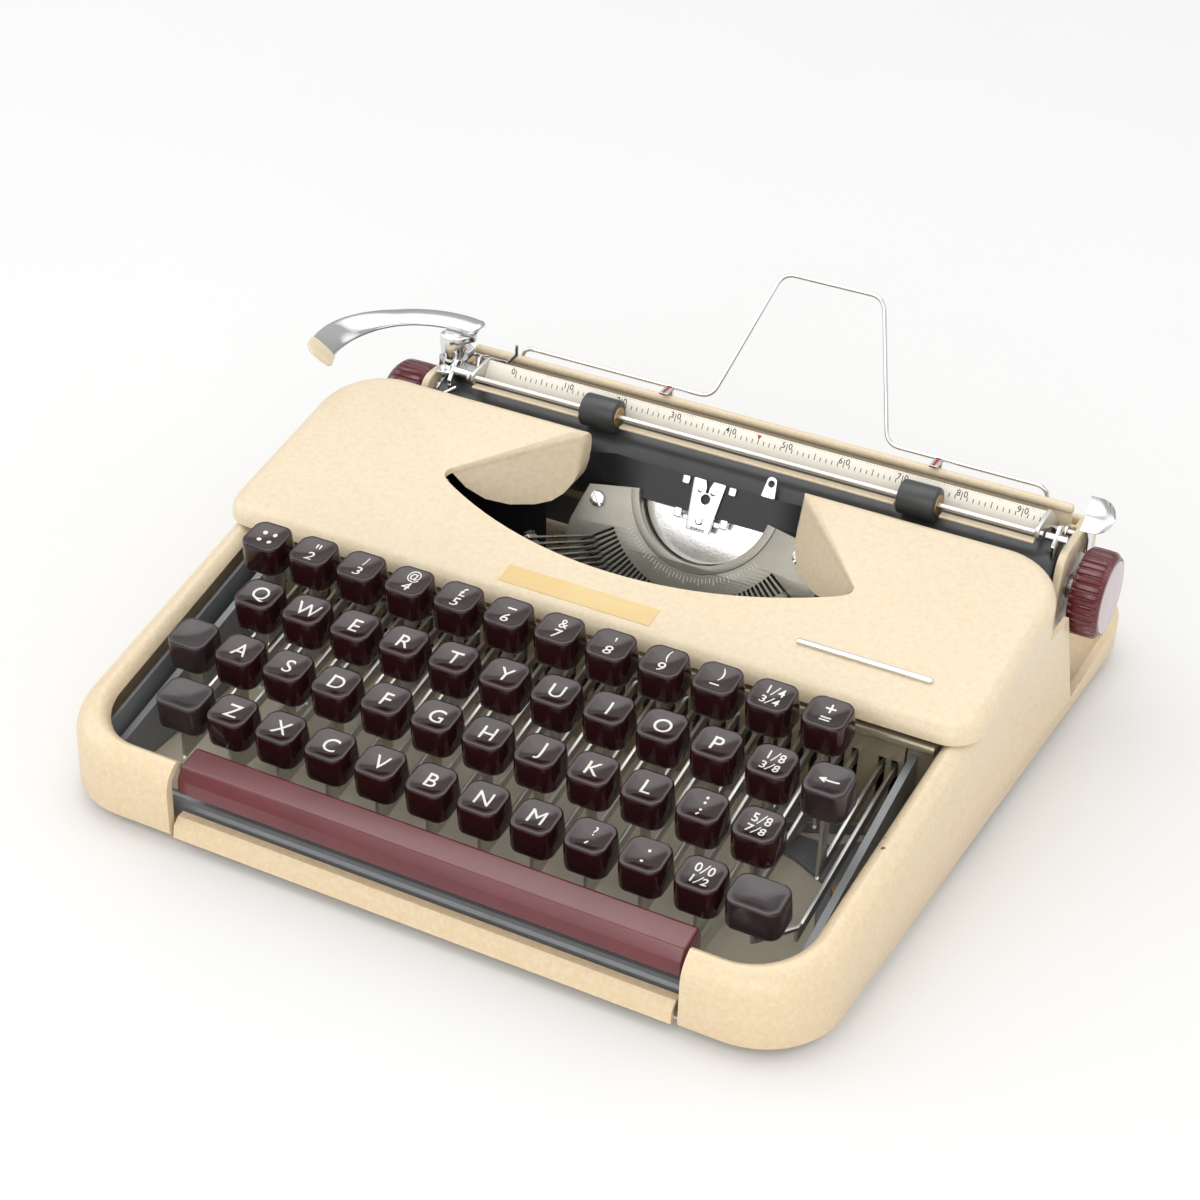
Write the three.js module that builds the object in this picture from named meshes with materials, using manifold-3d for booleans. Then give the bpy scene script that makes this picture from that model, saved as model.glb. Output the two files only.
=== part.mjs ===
// Portable typewriter: lower shell, lifting ribbon cover, key levers on a fulcrum rod,
// half-ring segment with its type bars, and a sliding carriage with platen, bail and levers.
// Millimetres. X runs to the typist's right, Y away from the typist, Z up; the table is Z = 0.
// Everything is laid out in the machine's own datum (X = 0 on the centre line, Y = 0 under
// the front row of keys); the last lines move the origin to the middle of the footprint.

import * as THREE from 'three';
import { mergeVertices } from 'three/addons/utils/BufferGeometryUtils.js';
import Module from 'manifold-3d';

const wasm = await Module();
wasm.setup();

// ---------------------------------------------------------------- driving dimensions

const GAP = 0.3;                       // clearance between neighbouring pieces

const SHELL = {
  front: -30, rear: 256,               // Y of the front and rear walls
  halfFront: 138, halfRear: 147,       // half widths: the plan tapers towards the typist
  frontRadius: 28, rearRadius: 24,
  wall: 3, lip: 4, rimRound: 6,
  bottom: 4.1, rimFrontZ: 29.8, rimSlope: 0.197,
  deckFloor: [5.5, 8],
};
const SEAM = { frontY: 84, frontZ: 53, rearY: 170, rearZ: 55 };   // joint of shell and cover
const DECK = { y: 187, frontZ: 12, rearZ: 19 };                   // low rim behind the cover
const FRONT_SLOT = { x0: -88.5, x1: 96.5, y1: -15 };              // gap in the front rim

const COVER = {
  front: 81, rear: 172, halfFront: 142, halfRear: 145,
  frontRadius: 12, rearRadius: 24, round: 5, sheet: 2.2,
  topFrontY: 87, topFrontZ: 59, slope: 0.2,
  lobeWallZ: 50,
};
const TYPE_OPENING = { x: 1, halfBack: 43.5, backY: 171, halfWide: 83, wideY: 129, frontY: 105 };

const PITCH = 19;                      // key spacing across each row
const ROWS = [                         // back row first: X of the first key, Y, top height
  { x: -106.5, y: 57, top: 69 },
  { x: -97, y: 38, top: 59 },
  { x: -111.25, y: 19, top: 49 },
  { x: -101.75, y: 0, top: 39 },
];
const CAP = { width: 14.6, depth: 14, height: 11.5, corner: 3.4, bevel: 1.1, tilt: 8 };
const LEVER = { thick: 1.4, half: 2.1, frontZ: 17, slope: 0.2, kneeY: 84, eye: 4, bore: 2.6 };
const FULCRUM = { y: 128, z: 19, rod: 2 };
const FIGURE_TIE = { y: 96, z: 37.4, r: 1 };      // ties the figure levers together, above
const SIGN_TIE = { y: 110, z: 17.4, r: 1.1 };     // ties the sign levers together, below
const SPACE_SHAFT = { y: 98, z: 8.5, r: 2 };

const PRINT_X = 6.5;                   // the printing point is a little right of centre
const RING = { y: 170, z: 63, tilt: 30, inner: 26, slotInner: 38, pivot: 47, outer: 57,
  thick: 8, bars: 44, spread: 56 };

const PLATEN = { y: 190, z: 55, r: 16, x0: -114, x1: 134 };
const KNOB = { r: 15.6, bore: 3.8, left: [-136.5, -121.5], right: [141.2, 153] };
const END_PLATE = { left: [-119.5, -116.5], right: [134.5, 137.5] };
const BAIL = { pivotY: 203, pivotZ: 68, rodY: 182, rodZ: 77, rod: 1.5, roller: 7,
  x0: -97.5, x1: 126, rollers: [[-50, -36], [75.5, 89.5]] };
const TABLE_TOP = { y: 209, z: 74, r: 1.8 };
const MARGIN_RAIL = { y: 213.4, z: 64, r: 1.3 };
const SUPPORT = { x0: -96, x1: 118, y: 217.1, pivotZ: 70, barZ: 75.2, wire: 0.9 };
const RETURN_PIVOT = { x: -113, y: 193 };
const RELEASE_PIVOT = { y: 201, z: 66 };
const SPOOL = { x: 108, y: 142, z: 49.5, height: 12, flange: 24, wound: 17, bore: 3 };
const SIDE_PLATE = { x0: 121.5, x1: 124 };
const FRONT_ROD = { y: -18, z: 9.5, r: 3.5 };
const COMB = { y0: 85.5, y1: 87, z0: 20, z1: 44, slot: 2.6, slotTop: 37.6, half: 119.6 };
const SPACE_ARMS = [-85.1, 90.6];      // the arms pass between neighbouring key levers

// ---------------------------------------------------------------- solids from geometry

// A closed three.js geometry as a manifold solid: shared vertices, no degenerate faces.
function solid(geometry) {
  const bare = geometry.index ? geometry.toNonIndexed() : geometry.clone();
  bare.deleteAttribute('normal');
  bare.deleteAttribute('uv');
  const merged = mergeVertices(bare, 1e-4);
  const index = merged.index.array;
  const faces = [];
  for (let i = 0; i < index.length; i += 3) {
    const [a, b, c] = [index[i], index[i + 1], index[i + 2]];
    if (a !== b && b !== c && c !== a) faces.push(a, b, c);
  }
  return new wasm.Manifold(new wasm.Mesh({
    numProp: 3,
    vertProperties: new Float32Array(merged.attributes.position.array),
    triVerts: new Uint32Array(faces),
  }));
}

function toGeometry(manifold) {
  const mesh = manifold.getMesh();
  const geometry = new THREE.BufferGeometry();
  const positions = new Float32Array(mesh.vertProperties);
  geometry.setAttribute('position', new THREE.BufferAttribute(positions, 3));
  geometry.setIndex(new THREE.BufferAttribute(new Uint32Array(mesh.triVerts), 1));
  geometry.computeVertexNormals();
  return geometry;
}

const joined = (...parts) => parts.flat(Infinity).reduce((all, next) => all.add(next));
const without = (body, ...cuts) => cuts.flat(Infinity).reduce((left, cut) => left.subtract(cut), body);

function box(x0, x1, y0, y1, z0, z1) {
  const geometry = new THREE.BoxGeometry(x1 - x0, y1 - y0, z1 - z0);
  geometry.translate((x0 + x1) / 2, (y0 + y1) / 2, (z0 + z1) / 2);
  return solid(geometry);
}

// A straight round bar between two points.
function bar(from, to, radius, sides = 12, radiusTo = radius) {
  const a = new THREE.Vector3(...from);
  const b = new THREE.Vector3(...to);
  const along = b.clone().sub(a);
  const geometry = new THREE.CylinderGeometry(radiusTo, radius, along.length(), sides);
  const turn = new THREE.Quaternion().setFromUnitVectors(
    new THREE.Vector3(0, 1, 0), along.clone().normalize());
  geometry.applyQuaternion(turn);
  geometry.translate(...a.clone().add(b).multiplyScalar(0.5).toArray());
  return solid(geometry);
}

const shaftX = (x0, x1, y, z, r, sides = 16) => bar([x0, y, z], [x1, y, z], r, sides);
const postZ = (x, y, z0, z1, r, sides = 16) => bar([x, y, z0], [x, y, z1], r, sides);

// Corner points with a radius each become an outline with round corners.
function rounded(corners, steps = 4) {
  const outline = [];
  corners.forEach(([x, y, radius = 0], i) => {
    const corner = new THREE.Vector2(x, y);
    const before = new THREE.Vector2(...corners.at(i - 1)).sub(corner);
    const after = new THREE.Vector2(...corners[(i + 1) % corners.length]).sub(corner);
    if (!radius) { outline.push([x, y]); return; }
    const half = Math.acos(before.clone().normalize().dot(after.clone().normalize())) / 2;
    const reach = radius / Math.tan(half);
    const start = corner.clone().addScaledVector(before.normalize(), reach);
    const end = corner.clone().addScaledVector(after.normalize(), reach);
    const middle = corner.clone().addScaledVector(
      before.clone().add(after).normalize(), radius / Math.sin(half));
    const angle0 = Math.atan2(start.y - middle.y, start.x - middle.x);
    let sweep = Math.atan2(end.y - middle.y, end.x - middle.x) - angle0;
    if (sweep > Math.PI) sweep -= 2 * Math.PI;
    if (sweep < -Math.PI) sweep += 2 * Math.PI;
    for (let k = 0; k <= steps; k += 1) {
      const t = angle0 + (sweep * k) / steps;
      outline.push([middle.x + radius * Math.cos(t), middle.y + radius * Math.sin(t)]);
    }
  });
  return outline;
}

function shapeOf(outline, holes = []) {
  const toVectors = (list) => list.map(([a, b]) => new THREE.Vector2(a, b));
  const shape = new THREE.Shape(toVectors(outline));
  holes.forEach((hole) => shape.holes.push(new THREE.Path(toVectors(hole))));
  return shape;
}

// An XY outline made into a plate from z0 to z1, or a YZ outline from x0 to x1.
function plateZ(outline, z0, z1, holes) {
  const geometry = new THREE.ExtrudeGeometry(shapeOf(outline, holes),
    { depth: z1 - z0, bevelEnabled: false });
  geometry.translate(0, 0, z0);
  return solid(geometry);
}

const DEPTH_TO_X = new THREE.Matrix4().set(0, 0, 1, 0, 1, 0, 0, 0, 0, 1, 0, 0, 0, 0, 0, 1);

function plateX(outline, x0, x1, holes) {
  const geometry = new THREE.ExtrudeGeometry(shapeOf(outline, holes),
    { depth: x1 - x0, bevelEnabled: false });
  geometry.translate(0, 0, x0);
  geometry.applyMatrix4(DEPTH_TO_X);
  return solid(geometry);
}

// A block with rounded upper edges whose top plane rises with Y at the given slope.
function slopedBlock(outline, depth, round, steps, topAt, slope) {
  const geometry = new THREE.ExtrudeGeometry(shapeOf(outline), {
    depth: depth - 2 * round, bevelEnabled: round > 0, bevelThickness: round,
    bevelSize: round, bevelOffset: -round, bevelSegments: steps,
  });
  geometry.translate(0, 0, round - depth);
  const position = geometry.attributes.position;
  for (let i = 0; i < position.count; i += 1) {
    position.setZ(i, position.getZ(i) + topAt + slope * position.getY(i));
  }
  return solid(geometry);
}

function circle(y, z, r, sides, from = 0, to = 2 * Math.PI) {
  const whole = to - from >= 2 * Math.PI - 1e-6;
  return Array.from({ length: sides + (whole ? 0 : 1) }, (_, i) => {
    const t = from + ((to - from) * i) / sides;
    return [y + r * Math.cos(t), z + r * Math.sin(t)];
  });
}

// A round wire along a polyline whose corners are turned on a radius.
function wire(points, radius, bend, sides = 8) {
  const path = new THREE.CurvePath();
  const at = points.map((p) => new THREE.Vector3(...p));
  let last = at[0];
  for (let i = 1; i < at.length - 1; i += 1) {
    const back = at[i - 1].clone().sub(at[i]).setLength(bend).add(at[i]);
    const ahead = at[i + 1].clone().sub(at[i]).setLength(bend).add(at[i]);
    path.add(new THREE.LineCurve3(last, back));
    path.add(new THREE.QuadraticBezierCurve3(back, at[i], ahead));
    last = ahead;
  }
  path.add(new THREE.LineCurve3(last, at.at(-1)));
  const stations = [];
  path.curves.forEach((curve) => {
    const steps = curve.isLineCurve3 ? 1 : 3;
    for (let k = 0; k < steps; k += 1) stations.push(curve.getPoint(k / steps));
  });
  stations.push(at.at(-1));
  const route = new THREE.CurvePath();
  stations.slice(1).forEach((p, i) => route.add(new THREE.LineCurve3(stations[i], p)));
  route.getPoint = (t) => {
    const place = t * (stations.length - 1);
    const i = Math.min(Math.floor(place), stations.length - 2);
    return stations[i].clone().lerp(stations[i + 1], place - i);
  };
  route.getPointAt = route.getPoint;
  route.getTangentAt = (t) => {
    const place = Math.round(t * (stations.length - 1));
    const i = Math.max(place - 1, 0);
    const j = Math.min(place + 1, stations.length - 1);
    return stations[j].clone().sub(stations[i]).normalize();
  };
  const section = new THREE.Shape(
    circle(0, 0, radius, sides).map(([a, b]) => new THREE.Vector2(a, b)));
  return solid(new THREE.ExtrudeGeometry(section,
    { steps: stations.length - 1, extrudePath: route, bevelEnabled: false }));
}

// ---------------------------------------------------------------- materials and placing

const finish = (color, roughness, metalness = 0) => () => (
  new THREE.MeshStandardMaterial({ color, roughness, metalness }));

const creamPaint = finish(0xead9b8, 0.5);
const keyPlastic = finish(0x4a1f26, 0.22);
const blankKeyPlastic = finish(0x55464a, 0.3);
const barPlastic = finish(0x7a3442, 0.22);
const chrome = finish(0xd8dadc, 0.16, 1);
const nickel = finish(0xb9ab95, 0.32, 1);
const steel = finish(0x8d9194, 0.38, 1);
const greyPaint = finish(0x8d9296, 0.5, 0.3);
const blackRubber = finish(0x3a3c3e, 0.62);
const cardGrey = finish(0xc9c5bb, 0.75);

// A mesh whose own origin is the given pivot, hung in a parent group with its own origin.
function place(parent, name, body, material, pivot = parent.userData.datum) {
  const [x, y, z] = pivot;
  const mesh = new THREE.Mesh(toGeometry(body.translate(-x, -y, -z)), material());
  const [px, py, pz] = parent.userData.datum;
  mesh.name = name;
  mesh.position.set(x - px, y - py, z - pz);
  parent.add(mesh);
  return mesh;
}

function assembly(parent, datum) {
  const group = new THREE.Group();
  const [px, py, pz] = parent ? parent.userData.datum : [0, 0, 0];
  group.userData.datum = datum;
  group.position.set(datum[0] - px, datum[1] - py, datum[2] - pz);
  if (parent) parent.add(group);
  return group;
}

const machine = assembly(null, [0, 0, 0]);

// ---------------------------------------------------------------- casing

// The shell's plan outline, moved inwards by the inset.
function shellPlan(inset, steps = 6) {
  const { front, rear, halfFront, halfRear, frontRadius, rearRadius } = SHELL;
  return rounded([
    [-halfFront + inset, front + inset, frontRadius - inset],
    [halfFront - inset, front + inset, frontRadius - inset],
    [halfRear - inset, rear - inset, rearRadius - inset],
    [-halfRear + inset, rear - inset, rearRadius - inset],
  ], steps);
}

function bodyShell() {
  const { front, rear, halfRear, wall, lip, rimRound, bottom, rimFrontZ, rimSlope } = SHELL;
  const topAt = rimFrontZ - rimSlope * front;
  const outer = slopedBlock(shellPlan(0), 120, rimRound, 3, topAt, rimSlope);
  const side = plateX([[front - 10, bottom], [rear + 10, bottom], [rear + 10, DECK.rearZ],
    [rear - 6, DECK.rearZ], [DECK.y, DECK.frontZ], [SEAM.rearY, SEAM.rearZ],
    [SEAM.frontY, SEAM.frontZ], [SEAM.frontY, 90], [front - 10, 90]], -200, 200);
  const cavity = slopedBlock(shellPlan(wall), 120, 3, 2, topAt - lip, rimSlope);
  const keyWell = plateZ(rounded([[-128.5, front + 9, 22], [128.5, front + 9, 22],
    [134.5, SEAM.frontY - 1], [140, SEAM.frontY - 1], [halfRear - wall - 1, DECK.y],
    [-halfRear + wall + 1, DECK.y], [-140, SEAM.frontY - 1], [-134.5, SEAM.frontY - 1]],
  6), -5, 120);
  const { x0, x1, y1 } = FRONT_SLOT;
  const slot = box(x0, x1, front - 10, y1, -5, 90);
  const floor = plateZ(shellPlan(1), ...SHELL.deckFloor)
    .intersect(box(-200, 200, DECK.y - 3, rear + 10, 0, 30));
  return without(outer.intersect(side), cavity, keyWell, slot).add(floor);
}

function basePlate() {
  const z0 = 2.6;
  const plate = plateZ(shellPlan(5, 4), z0, SHELL.bottom - GAP);
  const feet = [[-112, 0], [112, 0], [-116, 226], [116, 226]]
    .map(([x, y]) => postZ(x, y, 0, z0 + 0.5, 9, 20));
  return joined(plate, feet);
}

function frontStrip() {
  const outline = [[-29.6, 4.4], [-27.6, 4.4], [-27.4, 8.6], [-25.6, 10], [-23.6, 10.2],
    [-23.6, 11.4], [-26.4, 11.2], [-29, 9]];
  return plateX(outline, FRONT_SLOT.x0 + 1.2, FRONT_SLOT.x1 - 2.4);
}

// The outline of the opening over the type bars, grown outwards by a margin.
function typeOpening(margin = 0) {
  const { x, halfBack, backY, halfWide, wideY, frontY } = TYPE_OPENING;
  const rise = wideY - frontY;
  const radius = (halfWide ** 2 + rise ** 2) / (2 * rise) + margin;
  const reach = Math.asin(halfWide / radius);
  const curve = Array.from({ length: 15 }, (_, i) => {
    const t = reach * (1 - (2 * i) / 14) - Math.PI / 2;
    return [radius * Math.cos(t), frontY + radius - margin + radius * Math.sin(t)];
  }).slice(1, -1).reverse();
  return rounded([
    [halfBack - 3 + margin, backY + 12], [-halfBack + 3 - margin, backY + 12],
    [-halfBack - margin, backY - 3, 7], [-halfWide - margin, wideY - 2, 5],
    ...curve,
    [halfWide + margin, wideY - 2, 5], [halfBack + margin, backY - 3, 7],
  ], 4).map(([across, along]) => [x + across, along]);
}

function topCover() {
  const { front, rear, halfFront, halfRear, frontRadius, rearRadius, round, sheet } = COVER;
  const plan = (inset) => rounded([
    [-halfFront + inset, front + inset, frontRadius - inset],
    [halfFront - inset, front + inset, frontRadius - inset],
    [halfRear - inset, rear - inset, rearRadius - inset],
    [-halfRear + inset, rear - inset, rearRadius - inset],
  ], 5);
  const topAt = COVER.topFrontZ - COVER.slope * COVER.topFrontY;
  const outer = slopedBlock(plan(0), 90, round, 3, topAt, COVER.slope);
  const above = (z0, z1) => plateX([[60, z0], [200, z1], [200, 120], [60, 120]], -200, 200);
  const slope = (SEAM.rearZ - SEAM.frontZ) / (SEAM.rearY - SEAM.frontY);
  const seamAt = (y) => SEAM.frontZ + 0.4 + slope * (y - SEAM.frontY);
  const hollow = slopedBlock(plan(sheet), 90, round - sheet, 2, topAt - sheet, COVER.slope);
  const backGap = box(-136, 136, COVER.rear - 22, COVER.rear + 8, 0, 70);
  const skin = without(outer, hollow, backGap).intersect(above(seamAt(60), seamAt(200)));
  const opening = plateZ(typeOpening(), 0, 120);
  const lobes = plateZ(typeOpening(sheet), COVER.lobeWallZ, 120)
    .intersect(outer)
    .intersect(box(-200, 200, 127, COVER.rear, 0, 120));
  return without(skin.add(lobes), opening);
}

// ---------------------------------------------------------------- keyboard

const leverZ = (y) => LEVER.frontZ + LEVER.slope * y;

// One key: moulded cap, its stem and the flat lever running back to an eye on a shaft.
function keyCap(row, x, width) {
  const { y, top } = ROWS[row];
  const [w, d] = [width / 2, CAP.depth / 2];
  const geometry = new THREE.ExtrudeGeometry(shapeOf(rounded([
    [-w, -d, CAP.corner], [w, -d, CAP.corner], [w, d, CAP.corner], [-w, d, CAP.corner],
  ], 2)), {
    depth: CAP.height - 2 * CAP.bevel, bevelThickness: CAP.bevel, bevelSize: CAP.bevel,
    bevelOffset: -CAP.bevel, bevelSegments: 1,
  });
  geometry.translate(0, 0, CAP.bevel - CAP.height);
  geometry.rotateX(THREE.MathUtils.degToRad(CAP.tilt));
  geometry.translate(x, y, top);
  return solid(geometry);
}

function keyLever(row, x) {
  const { y, top } = ROWS[row];
  const { thick, half, kneeY, eye, bore } = LEVER;
  const towards = Math.atan2(leverZ(kneeY) - FULCRUM.z, kneeY - FULCRUM.y);
  const outline = [
    [y - 3, leverZ(y) - half], [kneeY, leverZ(kneeY) - half],
    ...circle(FULCRUM.y, FULCRUM.z, eye, 5, towards + 0.55, towards + 2 * Math.PI - 0.55),
    [kneeY + 1.5, leverZ(kneeY) + half], [y + 3, leverZ(y) + half],
    [y + 3, top - CAP.height + 2], [y - 3, top - CAP.height + 2],
  ];
  return plateX(outline, x - thick / 2, x + thick / 2,
    [circle(FULCRUM.y, FULCRUM.z, bore, 7)]);
}

const keyX = (row, i) => ROWS[row].x + PITCH * i;

function key(row, i, width = CAP.width) {
  const x = keyX(row, i);
  return keyCap(row, x, width).add(keyLever(row, x));
}

// Several keys whose levers are tied together by a thin cross rod and move as one piece.
function keyGang(keys, tie) {
  const places = keys.map(([row, i]) => keyX(row, i));
  const [first, last] = [Math.min(...places), Math.max(...places)];
  const rod = shaftX(first - 2, last + 2, tie.y, tie.z, tie.r, 6);
  const links = places.map((x) => box(x - LEVER.thick / 2, x + LEVER.thick / 2,
    tie.y - 1.2, tie.y + 1.2, Math.min(tie.z, 28), Math.max(tie.z, 24)));
  return joined(rod, links, keys.map(([row, i]) => key(row, i)));
}

// The right shift key's lever is cranked outwards, so that it runs beside the backspace.
const RIGHT_SHIFT_LEVER_X = 116.5;

function rightShiftKey() {
  const { y, top } = ROWS[3];
  const x = keyX(3, 11);
  const crank = box(x - 0.7, RIGHT_SHIFT_LEVER_X + 0.7, y - 3, y + 3, 21.5, 23.5);
  const stem = box(x - 0.7, x + 0.7, y - 3, y + 3, 21.5, top - CAP.height + 2);
  const lever = keyLever(3, RIGHT_SHIFT_LEVER_X)
    .subtract(box(110, 125, y - 4, y + 4, 23.5, 60));
  return joined(keyCap(3, x, 18), stem, crank, lever);
}

function spaceBar() {
  const bar = plateX([[-26, 20.4], [-25.6, 26], [-23, 30.4], [-15, 31], [-12.4, 27], [-12.4, 20.4]],
    FRONT_SLOT.x0 + 1.2, FRONT_SLOT.x1 - 1.5);
  const arm = [[-13.2, 21.5], [-13.2, 12], [SPACE_SHAFT.y, 5.6], [SPACE_SHAFT.y + 2.9, 8.5],
    [SPACE_SHAFT.y, 11.4], [-8.6, 16.2], [-8.6, 21.5]];
  const arms = SPACE_ARMS.map((x) => plateX(arm, x - 0.6, x + 0.6));
  const shaft = shaftX(SPACE_ARMS[0] - 1.4, SPACE_ARMS[1] + 1.4, SPACE_SHAFT.y, SPACE_SHAFT.z,
    SPACE_SHAFT.r, 12);
  return joined(bar, arms, shaft);
}

const leverPlaces = () => [
  ...ROWS.flatMap((row, r) => Array.from({ length: 12 }, (_, i) => keyX(r, i))),
  RIGHT_SHIFT_LEVER_X,
].filter((x) => Math.abs(x - keyX(3, 11)) > 0.01);

function combPlate() {
  const { y0, y1, z0, z1, slot, slotTop, half } = COMB;
  const slots = leverPlaces().sort((a, b) => a - b);
  const teeth = [];
  slots.forEach((x) => teeth.push([x - slot / 2, z0], [x - slot / 2, slotTop],
    [x + slot / 2, slotTop], [x + slot / 2, z0]));
  const outline = [[-half, z0], ...teeth, [half, z0], [half, z1], [-half, z1]];
  const geometry = new THREE.ExtrudeGeometry(shapeOf(outline),
    { depth: y1 - y0, bevelEnabled: false });
  geometry.rotateX(Math.PI / 2);
  geometry.translate(0, y1, 0);
  return solid(geometry);
}

// ---------------------------------------------------------------- frame inside the shell

function innerFrame() {
  const { x0, x1 } = SIDE_PLATE;
  const profile = [[-20.5, 5.6], [-8, 4.6], [181, 4.6], [184, 9], [213, 9], [213, 24],
    [178, 25.5], [170, 44], [92, 44], [-8, 18], [-20.5, 13.4]];
  const plates = [plateX(profile, x0, x1), plateX(profile, -x1, -x0)];
  const span = x0 + 1;
  const fulcrum = shaftX(-span, span, FULCRUM.y, FULCRUM.z, FULCRUM.rod, 12);
  const frontRod = shaftX(-span, span, FRONT_ROD.y, FRONT_ROD.z, FRONT_ROD.r, 16);
  const rail = box(-span, span, 202, 212, 12, 24);
  const tie = box(-span, span, 166, 171, 4.6, 10);
  const brackets = [1, -1].flatMap((side) => {
    const x = side * SPOOL.x;
    const inner = x - side * 5;
    const outer = side * (x0 + 1);
    return [box(Math.min(inner, outer), Math.max(inner, outer), 136, 148, 41, 44),
      postZ(x, SPOOL.y, 43, SPOOL.z + SPOOL.height - 1, 2.4, 12)];
  });
  return joined(plates, fulcrum, frontRod, rail, tie, brackets);
}

// ---------------------------------------------------------------- segment and type bars
// These are drawn in the ring's own plane: x across, y up in the plane, z out of its face.

const barAngle = (i) => THREE.MathUtils.degToRad(
  -RING.spread + (2 * RING.spread * i) / (RING.bars - 1));

function ringSector(inner, outer, z0, z1, spread, sides) {
  const reach = THREE.MathUtils.degToRad(spread);
  const down = -Math.PI / 2;
  const arc = (r, from, to) => circle(0, 0, r, sides, down + from, down + to);
  return plateZ([...arc(outer, -reach, reach), ...arc(inner, reach, -reach)], z0, z1);
}

// A long thin block in a radial plane of the ring, from a start radius and height.
function radialBlock(angle, radial, tangential, z0, z1, lean = 0, at = [0, 0]) {
  const [r0, r1] = radial;
  const geometry = new THREE.BoxGeometry(tangential, r1 - r0, z1 - z0);
  geometry.translate(0, -(r0 + r1) / 2, (z0 + z1) / 2);
  geometry.rotateX(lean);
  geometry.translate(0, -at[0], at[1]);
  geometry.rotateZ(angle);
  return solid(geometry);
}

function segment() {
  const { inner, slotInner, outer, thick, bars } = RING;
  const ring = ringSector(inner, outer, -thick, 0, 70, 24);
  const slots = Array.from({ length: bars }, (_, i) => (
    radialBlock(barAngle(i), [slotInner, outer + 3], 0.95, -6, 1)));
  return without(ring, slots);
}

function typeBars() {
  const lean = THREE.MathUtils.degToRad(10);
  const root = [RING.pivot, -2];
  const bars = Array.from({ length: RING.bars }, (_, i) => (
    radialBlock(barAngle(i), [-1.3, 1.3], 0.6, -1, 46, lean, root)));
  const rest = ringSector(54.3, 57.2, 34, 37.5, RING.spread + 3, 20);
  return joined(rest, bars);
}

function typeGuide() {
  const moon = plateZ([...circle(0, 0, RING.inner - 0.7, 20, Math.PI * 1.1, Math.PI * 1.9)],
    -6, -5);
  const guide = plateZ(rounded([[-4.6, -14], [4.6, -14], [6, 4.5, 1], [1.2, 4.5], [0.8, 0],
    [-0.8, 0], [-1.2, 4.5], [-6, 4.5, 1]], 3), -1.2, 0, [circle(0, -1.9, 1.7, 12)]);
  const web = box(-3, 3, -14, -12.5, -6, 0);
  const holder = box(-34, 33, -8.8, -7.4, -3.75, -3.05);
  const strip = box(-2.4, 2.4, -13.5, -8, -3.75, -3.05);
  const lug = plateZ(rounded([[17, -8], [26, -8], [23.4, 12.2, 1.8], [20, 12.2, 1.8]], 3),
    -3.75, -3.05, [circle(21.7, 9.6, 1.2, 8)]);
  return joined(moon, guide, web, holder, strip, lug);
}

function ribbonVibrator() {
  const prongs = [-1, 1].map((side) => {
    const [a, b] = [side * 8, side * 10.4];
    const [x0, x1] = [Math.min(a, b), Math.max(a, b)];
    return joined(box(x0, x1, -11, 4.5, -2.7, -1.7), box(x0, x1, 3, 4.5, -2.7, -0.2),
      box(x0, x1, -10.5, -9, -2.7, -0.2));
  });
  return joined(box(-9, 9, -11, -9, -2.7, -1.7), prongs);
}

function ribbonSpool() {
  const { z, height, flange, wound, bore } = SPOOL;
  const profile = [[bore, 0], [flange, 0], [flange, 1.2], [wound, 1.2], [wound, height - 1.2],
    [flange, height - 1.2], [flange, height], [bore, height], [bore, 0]];
  const geometry = new THREE.LatheGeometry(
    profile.map(([r, h]) => new THREE.Vector2(r, h)), 20);
  geometry.rotateX(Math.PI / 2);
  geometry.translate(0, 0, z);
  return solid(geometry);
}

// ---------------------------------------------------------------- carriage

function carriageFrame() {
  const profile = rounded([[184, 28], [218, 28], [218, 66, 4], [208, 72, 3], [180, 72, 5],
    [177, 60], [177, 46]], 3);
  const shaftHole = [circle(PLATEN.y, PLATEN.z, 4.2, 14)];
  const plates = [END_PLATE.left, END_PLATE.right].map(([a, b]) => plateX(profile, a, b, shaftHole));
  return joined(plates, box(END_PLATE.left[0], END_PLATE.right[1], 200, 214, 26, 30));
}

function platen() {
  const { y, z, r, x0, x1 } = PLATEN;
  const roller = shaftX(x0, x1, y, z, r, 32);
  const shaft = shaftX(KNOB.left[0] + 3, KNOB.right[1] - 3, y, z, 3.5, 14);
  return roller.add(shaft);
}

function knob([x0, x1], blindAt) {
  const { y, z } = PLATEN;
  const grip = shaftX(x0, x1, y, z, KNOB.r, 32);
  const bore = blindAt < 0 ? [x0 + 2, x1 + 1] : [x0 - 1, x1 - 2];
  return grip.subtract(shaftX(bore[0], bore[1], y, z, KNOB.bore, 14));
}

function paperTable() {
  const { y, z, r } = TABLE_TOP;
  const sheet = [[196, 34.6], [207, 39], [210.4, 50], [208.4, 62], [210, 74],
    [208.6, 74], [207, 62], [208.9, 50.2], [206, 40], [196, 36]];
  return plateX(sheet, -112, 130).add(shaftX(-112, 130, y, z, r, 12));
}

function carriageBackBar() {
  const { y, z, r } = MARGIN_RAIL;
  const cover = plateX(rounded([[218.6, 34], [221.6, 34], [221.6, 66, 1.4], [218.6, 66, 1.4]], 3),
    -116, 134);
  const ends = [[-115.5, -112.5], [130.5, 133.5]]
    .map(([a, b]) => box(a, b, y - 1.6, 219, z - 2, z + 1.6));
  return joined(cover, ends, shaftX(-113, 131, y, z, r, 12));
}

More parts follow.
